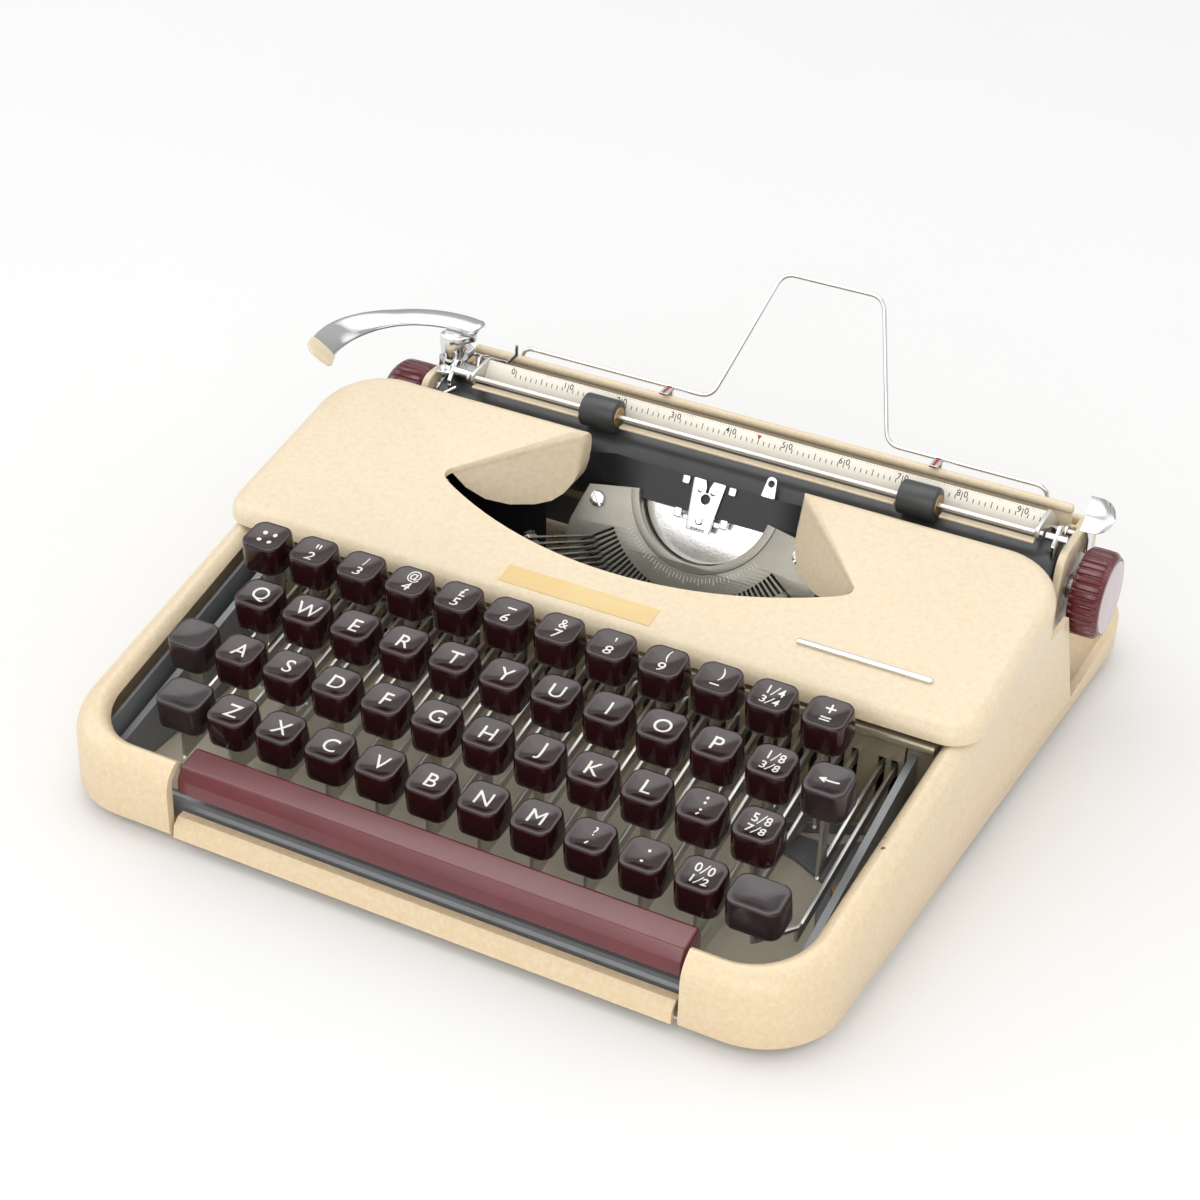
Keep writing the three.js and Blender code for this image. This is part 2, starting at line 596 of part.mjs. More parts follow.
function marginStop(x) {
  const { y, z } = MARGIN_RAIL;
  const block = without(box(x - 4, x + 4, y - 2.8, y + 2.5, z - 3, z + 4),
    box(x - 5, x + 5, y - 1.7, y + 1.7, z - 4, z + 2));
  const riser = box(x - 1.5, x + 1.5, y - 2.2, y - 1, z + 3, 78);
  const pointer = box(x - 1.5, x + 1.5, TABLE_TOP.y - 3, y - 1, 77, 78);
  return joined(block, riser, pointer);
}

function returnLever() {
  const { x, y } = RETURN_PIVOT;
  const blade = plateZ([[-101.5, 196], [-101.5, 199.4], [-120, 198.6], [-139, 193.4],
    [-153, 185], [-158.4, 172], [-153, 158], [-143.6, 147.2], [-140.8, 149.6], [-149.6, 160],
    [-154.6, 172], [-150.4, 182.4], [-137.6, 190.2], [-120, 195.4]].reverse(), 82, 92);
  const taper = plateX([[100, 95], [100, 86], [150, 87], [185, 90], [200, 92.5], [210, 95]],
    -200, -100);
  return joined(blade.subtract(taper), postZ(x, y, 73, 84, 5.5, 16));
}

function releaseLever() {
  const { y, z } = RELEASE_PIVOT;
  const arm = plateX(rounded([[y - 3, z - 3, 2.6], [y + 3, z - 3, 2.6], [y + 2.6, z + 5, 1],
    [y - 3.4, z + 9.6], [y - 7, z + 9.6], [y - 3, z + 4]], 3), 138.2, 139.8);
  const down = -Math.PI / 2;
  const cup = plateX([...circle(196, 81, 6.6, 8, down - 1.2, down + 1.2),
    ...circle(196, 81, 5.4, 8, down + 1.2, down - 1.2)], 138.2, 147.5);
  return arm.add(cup);
}

function paperBail() {
  const { pivotY, pivotZ, rodY, rodZ, rod, x0, x1 } = BAIL;
  const strip = plateX([[189, 74], [189.9, 73.3], [193.6, 79.2], [192.7, 79.9]], x0, x1);
  const side = rounded([[pivotY - 1, pivotZ - 1.6], [pivotY + 2, pivotZ - 1.6, 1.2],
    [pivotY + 2.2, pivotZ + 2], [193.6, 80.6, 1.5], [rodY - 1.6, rodZ + 2.2, 1.5],
    [rodY - 1.8, rodZ - 2, 1.5], [188, 73], [196, 72.3], [pivotY - 2, pivotZ + 1.2]], 3);
  const arms = [x0, x1].map((x) => plateX(side, x - 0.75, x + 0.75));
  const pins = [[-116, x0], [x1, 134]].map(([a, b]) => shaftX(a, b, pivotY, pivotZ, 1.2, 10));
  return joined(strip, arms, pins, shaftX(x0, x1, rodY, rodZ, rod, 12));
}

function bailRoller([x0, x1]) {
  const { rodY, rodZ, rod, roller } = BAIL;
  return shaftX(x0, x1, rodY, rodZ, roller, 24)
    .subtract(shaftX(x0 - 1, x1 + 1, rodY, rodZ, rod + 0.4, 12));
}

function paperSupport() {
  const { x0, x1, y, pivotZ, barZ, wire: radius } = SUPPORT;
  const [hoopY, hoopZ] = [240, 121];
  return wire([[x0, y, pivotZ - 1.5], [x0, y, barZ], [-15, y, barZ], [1, hoopY, hoopZ],
    [44, hoopY, hoopZ], [61, y, barZ], [x1, y, barZ], [x1, y, pivotZ - 1.5]], radius, 6, 6);
}

// ---------------------------------------------------------------- put together

place(machine, 'body_shell', bodyShell(), creamPaint);
place(machine, 'base_plate', basePlate(), cardGrey);
place(machine, 'front_strip', frontStrip(), creamPaint);
place(machine, 'inner_frame', innerFrame(), greyPaint);
place(machine, 'comb_plate', combPlate(), nickel);

const coverPivot = [0, COVER.rear, COVER.topFrontZ + COVER.slope * (COVER.rear - COVER.topFrontY)];
place(machine, 'top_cover', topCover(), creamPaint, coverPivot);

const ring = assembly(machine, [PRINT_X, RING.y, RING.z]);
ring.rotation.x = THREE.MathUtils.degToRad(90 - RING.tilt);
ring.userData.datum = [0, 0, 0];
place(ring, 'segment', segment(), greyPaint);
place(ring, 'type_bars', typeBars(), steel);
place(ring, 'type_guide', typeGuide(), chrome);
place(ring, 'ribbon_vibrator', ribbonVibrator(), chrome);

[['left', -1], ['right', 1]].forEach(([side, sign]) => {
  const spool = place(machine, `ribbon_spool_${side}`, ribbonSpool(), steel);
  spool.position.set(sign * SPOOL.x, SPOOL.y, 0);
});

const keyboard = assembly(machine, [0, FULCRUM.y, FULCRUM.z]);
const LETTERS = [null, 'qwertyuiop', ' asdfghjkl', ' zxcvbnm'];
LETTERS.forEach((letters, row) => [...(letters ?? '')].forEach((letter, i) => {
  if (letter !== ' ') place(keyboard, `key_${letter}`, key(row, i), keyPlastic);
}));
place(keyboard, 'margin_release_key', key(0, 0), keyPlastic);
place(keyboard, 'backspace_key', key(1, 11), blankKeyPlastic);
place(keyboard, 'shift_lock_key', key(2, 0), blankKeyPlastic);
place(keyboard, 'shift_key_left', key(3, 0, 17), blankKeyPlastic);
place(keyboard, 'shift_key_right', rightShiftKey(), blankKeyPlastic);

const figures = Array.from({ length: 11 }, (_, i) => [0, i + 1]);
place(keyboard, 'figure_keys', keyGang(figures, FIGURE_TIE), keyPlastic);
const signs = [[1, 10], [2, 10], [2, 11], [3, 8], [3, 9], [3, 10]];
place(keyboard, 'sign_keys', keyGang(signs, SIGN_TIE), keyPlastic);
place(machine, 'space_bar', spaceBar(), barPlastic, [0, SPACE_SHAFT.y, SPACE_SHAFT.z]);

const carriage = assembly(machine, [0, PLATEN.y, PLATEN.z]);
place(carriage, 'carriage_frame', carriageFrame(), creamPaint);
place(carriage, 'platen', platen(), blackRubber);
place(carriage, 'left_knob', knob(KNOB.left, -1), barPlastic);
place(carriage, 'right_knob', knob(KNOB.right, 1), barPlastic);
place(carriage, 'paper_table', paperTable(), creamPaint);
place(carriage, 'carriage_back_bar', carriageBackBar(), creamPaint);
place(carriage, 'return_lever', returnLever(), chrome, [RETURN_PIVOT.x, RETURN_PIVOT.y, 82]);
place(carriage, 'release_lever', releaseLever(), chrome, [139, RELEASE_PIVOT.y, RELEASE_PIVOT.z]);
const bailPivot = [0, BAIL.pivotY, BAIL.pivotZ];
place(carriage, 'paper_bail', paperBail(), creamPaint, bailPivot);
BAIL.rollers.forEach((span, i) => {
  const rollerAt = [(span[0] + span[1]) / 2, BAIL.rodY, BAIL.rodZ];
  place(carriage, `bail_roller_${i ? 'right' : 'left'}`, bailRoller(span), blackRubber, rollerAt);
});
place(carriage, 'paper_support', paperSupport(), steel, [0, SUPPORT.y, SUPPORT.pivotZ]);
place(carriage, 'margin_stop_left', marginStop(-30), chrome, [-30, MARGIN_RAIL.y, MARGIN_RAIL.z]);
place(carriage, 'margin_stop_right', marginStop(78), chrome, [78, MARGIN_RAIL.y, MARGIN_RAIL.z]);

// The origin goes to the middle of the footprint, on the table.
const extent = new THREE.Box3().setFromObject(machine);
const middle = extent.getCenter(new THREE.Vector3());
machine.position.set(-middle.x, -middle.y, -extent.min.z);
machine.updateMatrixWorld(true);

export default machine;
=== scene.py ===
import math

import bmesh
import bpy
from mathutils import Matrix, Vector, noise


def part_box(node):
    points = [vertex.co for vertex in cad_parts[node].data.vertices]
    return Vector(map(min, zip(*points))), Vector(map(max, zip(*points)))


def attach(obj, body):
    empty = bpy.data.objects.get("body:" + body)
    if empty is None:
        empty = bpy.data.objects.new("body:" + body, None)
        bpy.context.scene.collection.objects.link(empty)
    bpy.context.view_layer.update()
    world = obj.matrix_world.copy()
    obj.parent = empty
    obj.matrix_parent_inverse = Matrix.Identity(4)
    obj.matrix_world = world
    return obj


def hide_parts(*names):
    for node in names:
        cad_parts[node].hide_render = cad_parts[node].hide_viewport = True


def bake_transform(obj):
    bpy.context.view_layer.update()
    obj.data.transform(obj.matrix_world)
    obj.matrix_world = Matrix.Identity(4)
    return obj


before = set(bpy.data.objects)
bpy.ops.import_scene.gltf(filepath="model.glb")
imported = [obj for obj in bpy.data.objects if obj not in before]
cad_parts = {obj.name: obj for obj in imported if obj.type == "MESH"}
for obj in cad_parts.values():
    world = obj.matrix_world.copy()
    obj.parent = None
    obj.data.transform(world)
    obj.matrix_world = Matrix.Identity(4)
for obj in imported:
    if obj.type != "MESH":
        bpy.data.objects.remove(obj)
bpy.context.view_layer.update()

# ------------------------------------------------------------------ the machine's datum
# Shapes are laid out in millimetres in the machine's own datum, as in the CAD source: X = 0
# on the keyboard's centre line, Y = 0 under the front row of keys, Z = 0 on the table.

MM = 0.001
COMB_FRONT_Y = 85.5
_low, _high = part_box("comb_plate")
DATUM = Vector(((_low.x + _high.x) / 2 / MM, _low.y / MM - COMB_FRONT_Y, 0))
TO_FRAME = Matrix.Scale(MM, 4) @ Matrix.Translation(DATUM)

PITCH = 19
# each row from the rear: its first key's X, its Y and the height of its caps
ROWS = [(-106.5, 57, 69), (-97, 38, 59), (-111.25, 19, 49), (-101.75, 0, 39)]
CAP_TILT, CAP_WIDTH, CAP_HEIGHT = math.radians(8), 14.6, 11.5
LEVER_HALF = 0.7
FULCRUM = (128, 19)
PRINT_X = 6.5
RING_Y, RING_Z, RING_TILT = 170, 63, 30
PLATEN_Y, PLATEN_Z = 190, 55
SPOOL_X, SPOOL_Y, SPOOL_Z = 108, 142, 49.5
BAIL_ROD, BAIL_PIVOT = (182, 77), (203, 68)

RING_TO_DATUM = Matrix.Translation((PRINT_X, RING_Y, RING_Z)) @ Matrix.Rotation(
    math.radians(90 - RING_TILT), 4, "X")
YZ_TO_DATUM = Matrix(((0, 0, 1, 0), (1, 0, 0, 0), (0, 1, 0, 0), (0, 0, 0, 1)))
XZ_TO_DATUM = Matrix(((1, 0, 0, 0), (0, 0, -1, 0), (0, 1, 0, 0), (0, 0, 0, 1)))


# ------------------------------------------------------------------ shapes as (points, faces)

def joined(*shapes):
    points, faces = [], []
    for more_points, more_faces in shapes:
        start = len(points)
        points += [Vector(p) for p in more_points]
        faces += [tuple(i + start for i in f) for f in more_faces]
    return points, faces


def turned(shape, matrix):
    points, faces = shape
    moved = [matrix @ Vector(p) for p in points]
    if matrix.determinant() < 0:
        faces = [tuple(reversed(f)) for f in faces]
    return moved, faces


def at(shape, x=0, y=0, z=0):
    return turned(shape, Matrix.Translation((x, y, z)))


def mirrored(shape):
    return turned(shape, Matrix.Scale(-1, 4, (1, 0, 0)))


def on_ring(shape):
    return turned(shape, RING_TO_DATUM)


def loft(loops):
    """Quads between successive loops of equal length, and a face over each end."""
    n = len(loops[0])
    points = [Vector(p) for loop in loops for p in loop]
    faces = []
    for k in range(len(loops) - 1):
        for i in range(n):
            j = (i + 1) % n
            faces.append((k * n + i, k * n + j, (k + 1) * n + j, (k + 1) * n + i))
    faces.append(tuple(reversed(range(n))))
    faces.append(tuple(range((len(loops) - 1) * n, len(loops) * n)))
    return points, faces


def lathe(profile, steps=48, wave=None):
    """Turns (along, radius) points about the X axis; wave changes the radius with the angle."""
    loops = []
    for along, radius in profile:
        loop = []
        for i in range(steps):
            t = 2 * math.pi * i / steps
            r = radius + (wave(i, steps, radius) if wave else 0)
            loop.append((along, r * math.cos(t), r * math.sin(t)))
        loops.append(loop)
    return loft(loops)


def standing(profile, steps, x=0, y=0, z=0):
    """A turned part with an upright axis."""
    return at(turned(lathe(profile, steps), Matrix.Rotation(math.radians(-90), 4, "Y")), x, y, z)


def prism_x(outline, x0, x1):
    return loft([[(x, y, z) for y, z in outline] for x in (x0, x1)])


def prism_z(outline, z0, z1):
    return loft([[(x, y, z) for x, y in outline] for z in (z0, z1)])


def corners(x0, x1, y0, y1):
    return [(x0, y0), (x1, y0), (x1, y1), (x0, y1)]


def rounded(outline, steps=6):
    """Corner points with a radius each become an outline with round corners."""
    points = []
    for i, corner in enumerate(outline):
        x, y, radius = (*corner, 0)[:3]
        here = Vector((x, y))
        if not radius:
            points.append((x, y))
            continue
        before = (Vector(outline[i - 1][:2]) - here).normalized()
        after = (Vector(outline[(i + 1) % len(outline)][:2]) - here).normalized()
        half = math.acos(max(-1, min(1, before.dot(after)))) / 2
        middle = here + (before + after).normalized() * (radius / math.sin(half))
        start = here + before * (radius / math.tan(half)) - middle
        end = here + after * (radius / math.tan(half)) - middle
        angle = math.atan2(start.y, start.x)
        sweep = math.atan2(end.y, end.x) - angle
        sweep -= 2 * math.pi * round(sweep / (2 * math.pi))
        for k in range(steps + 1):
            t = angle + sweep * k / steps
            points.append((middle.x + radius * math.cos(t), middle.y + radius * math.sin(t)))
    return points


def circle(x, y, r, sides=24, start=0, end=360):
    """A circle, or an arc with both its ends where start and end are given in degrees."""
    points = []
    for i in range(sides + (end - start < 359.9)):
        t = math.radians(start + (end - start) * i / sides)
        points.append((x + r * math.cos(t), y + r * math.sin(t)))
    return points


def linked(name, data):
    obj = bpy.data.objects.new(name, data)
    bpy.context.scene.collection.objects.link(obj)
    return obj


def erase(obj):
    data = obj.data
    bpy.data.objects.remove(obj)
    (bpy.data.meshes if isinstance(data, bpy.types.Mesh) else bpy.data.curves).remove(data)


def shape_of(obj):
    """The evaluated mesh of a temporary object as a shape, and the object is removed."""
    graph = bpy.context.evaluated_depsgraph_get()
    mesh = bpy.data.meshes.new_from_object(obj.evaluated_get(graph))
    shape = [v.co.copy() for v in mesh.vertices], [tuple(p.vertices) for p in mesh.polygons]
    bpy.data.meshes.remove(mesh)
    erase(obj)
    return shape


def plate(outlines, low, high, bevel=0.2, steps=2, matrix=None):
    """A flat plate with rounded edges; the outlines after the first are its holes."""
    curve = bpy.data.curves.new("plate", "CURVE")
    curve.dimensions = "2D"
    curve.fill_mode = "BOTH"
    bevel = min(bevel, (high - low) / 2.02)
    curve.extrude = (high - low) / 2 - bevel
    curve.bevel_depth = bevel
    curve.bevel_resolution = steps
    curve.offset = -bevel
    for outline in outlines:
        spline = curve.splines.new("POLY")
        spline.points.add(len(outline) - 1)
        for point, (x, y) in zip(spline.points, outline):
            point.co = (x, y, 0, 1)
        spline.use_cyclic_u = True
    shape = at(shape_of(linked("plate", curve)), z=(low + high) / 2)
    return turned(shape, matrix) if matrix else shape


def plate_x(outline, low, high, bevel=0.2, steps=2, holes=()):
    return plate([outline, *holes], low, high, bevel, steps, YZ_TO_DATUM)


def block(x0, x1, y0, y1, z0, z1, bevel=0.3):
    return plate([corners(x0, x1, y0, y1)], z0, z1, bevel)


def tube(points, radius, sides=12):
    """A round bar along a polyline, with its section carried without twist."""
    points = [Vector(p) for p in points]
    loops = []
    normal = None
    for i, point in enumerate(points):
        ahead = points[min(i + 1, len(points) - 1)] - points[max(i - 1, 0)]
        ahead.normalize()
        if normal is None:
            normal = ahead.orthogonal().normalized()
        normal = (normal - ahead * normal.dot(ahead)).normalized()
        side = ahead.cross(normal)
        angles = [2 * math.pi * k / sides for k in range(sides)]
        loops.append([point + (normal * math.cos(t) + side * math.sin(t)) * radius
                      for t in angles])
    return loft(loops)


def bar_x(x0, x1, y, z, radius, sides):
    return tube([(x0, y, z), (x1, y, z)], radius, sides)


def bent(points, bend, steps=6):
    """A polyline whose corners are turned on curves that start a bend's length away."""
    points = [Vector(p) for p in points]
    route = [points[0]]
    for before, corner, after in zip(points, points[1:], points[2:]):
        a = corner + (before - corner).normalized() * bend
        b = corner + (after - corner).normalized() * bend
        for k in range(steps + 1):
            t = k / steps
            route.append(a * (1 - t) ** 2 + corner * 2 * t * (1 - t) + b * t * t)
    return route + [points[-1]]


def mesh_from(shape, name="shape"):
    mesh = bpy.data.meshes.new(name)
    points, faces = shape
    mesh.from_pydata([tuple(p) for p in points], [], faces)
    work = bmesh.new()
    work.from_mesh(mesh)
    bmesh.ops.remove_doubles(work, verts=work.verts, dist=1e-4)
    bmesh.ops.recalc_face_normals(work, faces=work.faces)
    work.to_mesh(mesh)
    work.free()
    return mesh


def boolean(shape, cutter, operation="DIFFERENCE"):
    target, tool = (linked("boolean", mesh_from(s)) for s in (shape, cutter))
    modifier = target.modifiers.new("boolean", "BOOLEAN")
    modifier.operation, modifier.object, modifier.solver = operation, tool, "EXACT"
    result = shape_of(target)
    erase(tool)
    return result


def screw(radius, height, slot_angle, slot):
    """A slotted cheese head, standing on Z = 0."""
    head = standing([(0, radius * 0.9), (0, radius), (height * 0.55, radius),
                     (height * 0.85, radius * 0.9), (height, radius * 0.62), (height, 0.01)], 28)
    reach = radius * 1.2
    cutter = block(-reach, reach, -slot / 2, slot / 2, height * 0.45, height * 2, 0.05)
    c, s = math.cos(slot_angle), math.sin(slot_angle)
    turn = Matrix(((c, -s, 0, 0), (s, c, 0, 0), (0, 0, 1, 0), (0, 0, 0, 1)))
    return boolean(head, turned(cutter, turn))


def meshed(name, shape, material, angle):
    """A shape in the machine's datum becomes an object in the frame."""
    mesh = mesh_from(shape, name)
    mesh.transform(TO_FRAME)
    mesh.shade_smooth()
    mesh.set_sharp_from_angle(angle=math.radians(angle))
    mesh.materials.append(material)
    return linked(name, mesh)


def piece(name, shape, material, body, replaces=None, angle=35):
    """A piece that rides on a body and may stand in for a CAD node."""
    obj = meshed(name, shape, material, angle)
    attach(obj, body)
    if replaces:
        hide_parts(replaces)


# ------------------------------------------------------------------ materials

class Surface:
    """A procedural material: a Principled shader with helpers for what feeds it."""

    MIX_A, MIX_B, MIX_RESULT = 6, 7, 2  # the Mix node's colour sockets

    def __init__(self, name, colour, roughness, metallic=0.0, **sockets):
        self.material = bpy.data.materials.new(name)
        self.material.use_nodes = True
        self.tree = self.material.node_tree
        self.shader = self.tree.nodes["Principled BSDF"]
        self.where = self.node("ShaderNodeTexCoord").outputs["Object"]
        self.set(self.shader, Base_Color=(*colour, 1), Roughness=roughness, Metallic=metallic,
                 **sockets)
        self.base, self.colour, self.height = colour, None, None

    def node(self, kind, **settings):
        made = self.tree.nodes.new(kind)
        for key, value in settings.items():
            setattr(made, key, value)
        return made

    def set(self, node, **values):
        for socket, value in values.items():
            node.inputs[socket.replace("_", " ")].default_value = value

    def link(self, a, b):
        self.tree.links.new(a, b)

    def stretched(self, scale):
        node = self.node("ShaderNodeMapping")
        self.set(node, Scale=scale)
        self.link(self.where, node.inputs["Vector"])
        return node.outputs["Vector"]

    def height_above_table(self):
        node = self.node("ShaderNodeSeparateXYZ")
        self.link(self.where, node.inputs[0])
        return node.outputs["Z"]

    def noise(self, scale, detail=4, roughness=0.5, vector=None):
        node = self.node("ShaderNodeTexNoise")
        self.link(vector or self.where, node.inputs["Vector"])
        self.set(node, Scale=scale, Detail=detail, Roughness=roughness)
        return node.outputs["Fac"]

    def crackle(self, scale):
        node = self.node("ShaderNodeTexVoronoi", feature="SMOOTH_F1")
        self.link(self.where, node.inputs["Vector"])
        self.set(node, Scale=scale, Smoothness=0.6)
        return node.outputs["Distance"]

    def remap(self, value, low, high, to_low=0.0, to_high=1.0):
        node = self.node("ShaderNodeMapRange")
        self.link(value, node.inputs["Value"])
        self.set(node, From_Min=low, From_Max=high, To_Min=to_low, To_Max=to_high)
        return node.outputs["Result"]

    def multiply(self, a, b):
        node = self.node("ShaderNodeMath", operation="MULTIPLY")
        self.link(a, node.inputs[0])
        if isinstance(b, float):
            node.inputs[1].default_value = b
        else:
            self.link(b, node.inputs[1])
        return node.outputs[0]

    def tint(self, factor, colour):
        """Lays another colour over what is there, by a factor from 0 to 1."""
        node = self.node("ShaderNodeMix", data_type="RGBA")
        self.link(factor, node.inputs["Factor"])
        if self.colour is None:
            node.inputs[self.MIX_A].default_value = (*self.base, 1)
        else:
            self.link(self.colour, node.inputs[self.MIX_A])
        node.inputs[self.MIX_B].default_value = (*colour, 1)
        self.colour = node.outputs[self.MIX_RESULT]
        self.link(self.colour, self.shader.inputs["Base Color"])

    def rough(self, factor, low, high):
        self.link(self.remap(factor, 0, 1, low, high), self.shader.inputs["Roughness"])

    def bump(self, height, strength, distance):
        node = self.node("ShaderNodeBump")
        self.set(node, Strength=strength, Distance=distance)
        self.link(height, node.inputs["Height"])
        if self.height is not None:
            self.link(self.height, node.inputs["Normal"])
        self.height = node.outputs["Normal"]
        self.link(self.height, self.shader.inputs["Normal"])


def cream_paint():
    """Crackle-grained cream enamel, with painted shade that makes it darker and yellower low down.
    """
    s = Surface("cream_paint", (0.77, 0.645, 0.455), 0.36, Coat_Weight=0.25, Coat_Roughness=0.2)
    s.tint(s.remap(s.noise(9, 3), 0.35, 0.7), (0.75, 0.615, 0.415))
    # painted shade: darker and yellower towards the table, where the lower body lies in shade
    s.tint(s.remap(s.height_above_table(), 0.022, 0.056, 1, 0), (0.74, 0.575, 0.36))
    s.tint(s.remap(s.noise(420, 3, 0.6), 0.42, 0.64, 0, 0.26), (0.66, 0.50, 0.31))
    s.tint(s.remap(s.noise(600, 2, 0.6), 0.42, 0.68, 0, 0.3), (0.86, 0.75, 0.57))
    small, where_worn = s.noise(160, 3, 0.6), s.noise(14, 2)
    s.tint(s.multiply(s.remap(small, 0.735, 0.76), s.remap(where_worn, 0.5, 0.6)),
           (0.16, 0.075, 0.035))
    s.rough(s.noise(300, 3), 0.3, 0.5)
    s.bump(s.crackle(520), 0.5, 0.00022)
    s.bump(s.noise(900, 3), 0.25, 0.0001)
    return s.material


def moulding(name, colour, streak, roughness, coat):
    """A glossy thermoset moulding with faint flow marks, dust and fine scuffs."""
    s = Surface(name, colour, roughness, Coat_Weight=coat, Coat_Roughness=0.08, IOR=1.5)
    s.tint(s.remap(s.noise(60, 4, vector=s.stretched((1, 1, 0.3))), 0.35, 0.75), streak)
    s.rough(s.noise(240, 5, 0.65), roughness * 0.6, roughness * 1.7)
    s.bump(s.noise(90, 2), 0.10, 0.0006)
    s.bump(s.noise(1600, 3, 0.7), 0.06, 0.0001)
    return s.material


def plated(name, colour, roughness, tarnish, spots, grain=(1, 1, 1)):
    """Plated or drawn metal, with a grain along one direction, haze and small tarnish spots."""
    s = Surface(name, colour, roughness, 1.0)
    s.tint(s.remap(s.noise(40, 4), 0.4, 0.8, 0, 0.6), tarnish)
    s.tint(s.remap(s.noise(420, 4, 0.7), spots, spots + 0.05), tuple(c * 0.35 for c in tarnish))
    s.rough(s.noise(180, 4, 0.7, s.stretched(grain)), roughness * 0.6, roughness * 1.8)
    s.bump(s.noise(700, 3, 0.6, s.stretched(grain)), 0.08, 0.0001)
    return s.material


def lacquer(name, colour, other, roughness, metallic=0.0, grain=900, depth=0.00012):
    """A matt or satin coat with a fine grain and faint stains."""
    s = Surface(name, colour, roughness, metallic)
    s.tint(s.remap(s.noise(35, 4), 0.35, 0.75), other)
    s.tint(s.remap(s.noise(260, 4, 0.7), 0.62, 0.8, 0, 0.7), tuple(c * 0.6 for c in other))
    s.rough(s.noise(200, 4), roughness * 0.75, roughness * 1.25)
    s.bump(s.noise(grain, 4, 0.6), 0.3, depth)
    return s.material


def ribbon_cloth():
    s = Surface("ribbon_cloth", (0.004, 0.004, 0.005), 0.38)
    weave = s.node("ShaderNodeTexWave", bands_direction="X", wave_type="BANDS")
    s.link(s.where, weave.inputs["Vector"])
    s.set(weave, Scale=900)
    s.tint(s.multiply(weave.outputs["Fac"], 0.5), (0.010, 0.010, 0.012))
    s.tint(s.remap(s.noise(120, 4, 0.7), 0.66, 0.8, 0, 0.5), (0.035, 0.033, 0.033))
    s.bump(weave.outputs["Fac"], 0.2, 0.0001)
    return s.material


def tape_film():
    s = Surface("tape_film", (0.79, 0.57, 0.25), 0.45)
    s.tint(s.remap(s.noise(70, 4, 0.6), 0.35, 0.7), (0.78, 0.60, 0.31))
    streaks = s.noise(500, 3, 0.6, s.stretched((0.2, 1, 1)))
    s.tint(s.remap(streaks, 0.55, 0.8, 0, 0.5), (0.86, 0.67, 0.36))
    s.rough(s.noise(200, 3), 0.3, 0.6)
    s.bump(s.noise(160, 3, vector=s.stretched((0.3, 1, 1))), 0.4, 0.0003)
    return s.material


def legend_paint(name, colour, other):
    s = Surface(name, colour, 0.45)
    s.tint(s.remap(s.noise(300, 3), 0.4, 0.8), other)
    s.bump(s.noise(900, 2), 0.1, 0.0001)
    return s.material


CREAM = cream_paint()
KEY = moulding("key_moulding", (0.019, 0.0050, 0.0056), (0.026, 0.0062, 0.0068), 0.085, 0.0)
BLANK_KEY = moulding("blank_key_moulding", (0.024, 0.015, 0.016), (0.032, 0.020, 0.021), 0.16, 0.0)
WINE = moulding("wine_moulding", (0.115, 0.017, 0.021), (0.14, 0.022, 0.027), 0.16, 0.2)
KNOB_CAP = moulding("knob_cap_moulding", (0.50, 0.40, 0.42), (0.62, 0.52, 0.54), 0.3, 0.2)
CHROME = plated("chrome_plate", (0.74, 0.745, 0.75), 0.10, (0.62, 0.62, 0.62), 0.78)
STEEL = plated("drawn_steel", (0.56, 0.56, 0.55), 0.24, (0.42, 0.40, 0.37), 0.70, (1, 0.15, 1))
LEVER_STEEL = plated("lever_steel", (0.66, 0.65, 0.62), 0.30, (0.46, 0.44, 0.40), 0.69,
                     (1, 0.12, 1))
NICKEL = lacquer("nickel_plate", (0.45, 0.385, 0.28), (0.34, 0.285, 0.20), 0.3, 0.6, 700)
BRASS = plated("brass_plate", (0.45, 0.33, 0.17), 0.34, (0.27, 0.19, 0.11), 0.66)
GREY = lacquer("grey_lacquer", (0.23, 0.24, 0.25), (0.19, 0.195, 0.20), 0.42, 0.25)
CASTING = lacquer("casting_grey", (0.31, 0.295, 0.25), (0.24, 0.23, 0.20), 0.34, 0.6)
MOON = lacquer("moon_plate", (0.97, 0.97, 0.96), (0.92, 0.92, 0.91), 0.22, 0.85)
LEVER_CHROME = plated("lever_chrome", (0.56, 0.565, 0.57), 0.10, (0.44, 0.44, 0.44), 0.78)
# painted shade: a black finish for sheets put where there is only shadow
SHADE_BLACK = lacquer("painted_shade_black", (0.010, 0.010, 0.011), (0.018, 0.017, 0.017), 0.85, 0.0, 1500, 0.0003)
RUBBER = lacquer("platen_rubber", (0.028, 0.029, 0.029), (0.040, 0.042, 0.041), 0.40, 0.0, 1500,
                 0.00006)
CARD = lacquer("pale_card", (0.70, 0.63, 0.50), (0.62, 0.56, 0.44), 0.62, 0.0, 1200, 0.0001)
STRIP = lacquer("scale_strip", (0.90, 0.86, 0.76), (0.86, 0.81, 0.70), 0.4, 0.0, 600, 0.00005)
RIBBON = ribbon_cloth()
TAPE = tape_film()
WHITE = legend_paint("white_legend", (0.82, 0.81, 0.78), (0.72, 0.70, 0.66))
INK = legend_paint("black_ink", (0.02, 0.02, 0.02), (0.05, 0.045, 0.04))
RED = legend_paint("red_ink", (0.42, 0.02, 0.02), (0.3, 0.03, 0.02))

# the CAD nodes that are shown as they are
for node_name, node_material in (("base_plate", CARD), ("inner_frame", GREY),
                                 ("comb_plate", NICKEL), ("front_strip", CREAM)):
    node_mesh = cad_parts[node_name].data
    node_mesh.materials[0] = node_material
    node_mesh.shade_smooth()
    node_mesh.set_sharp_from_angle(angle=math.radians(32))

# ------------------------------------------------------------------ casing

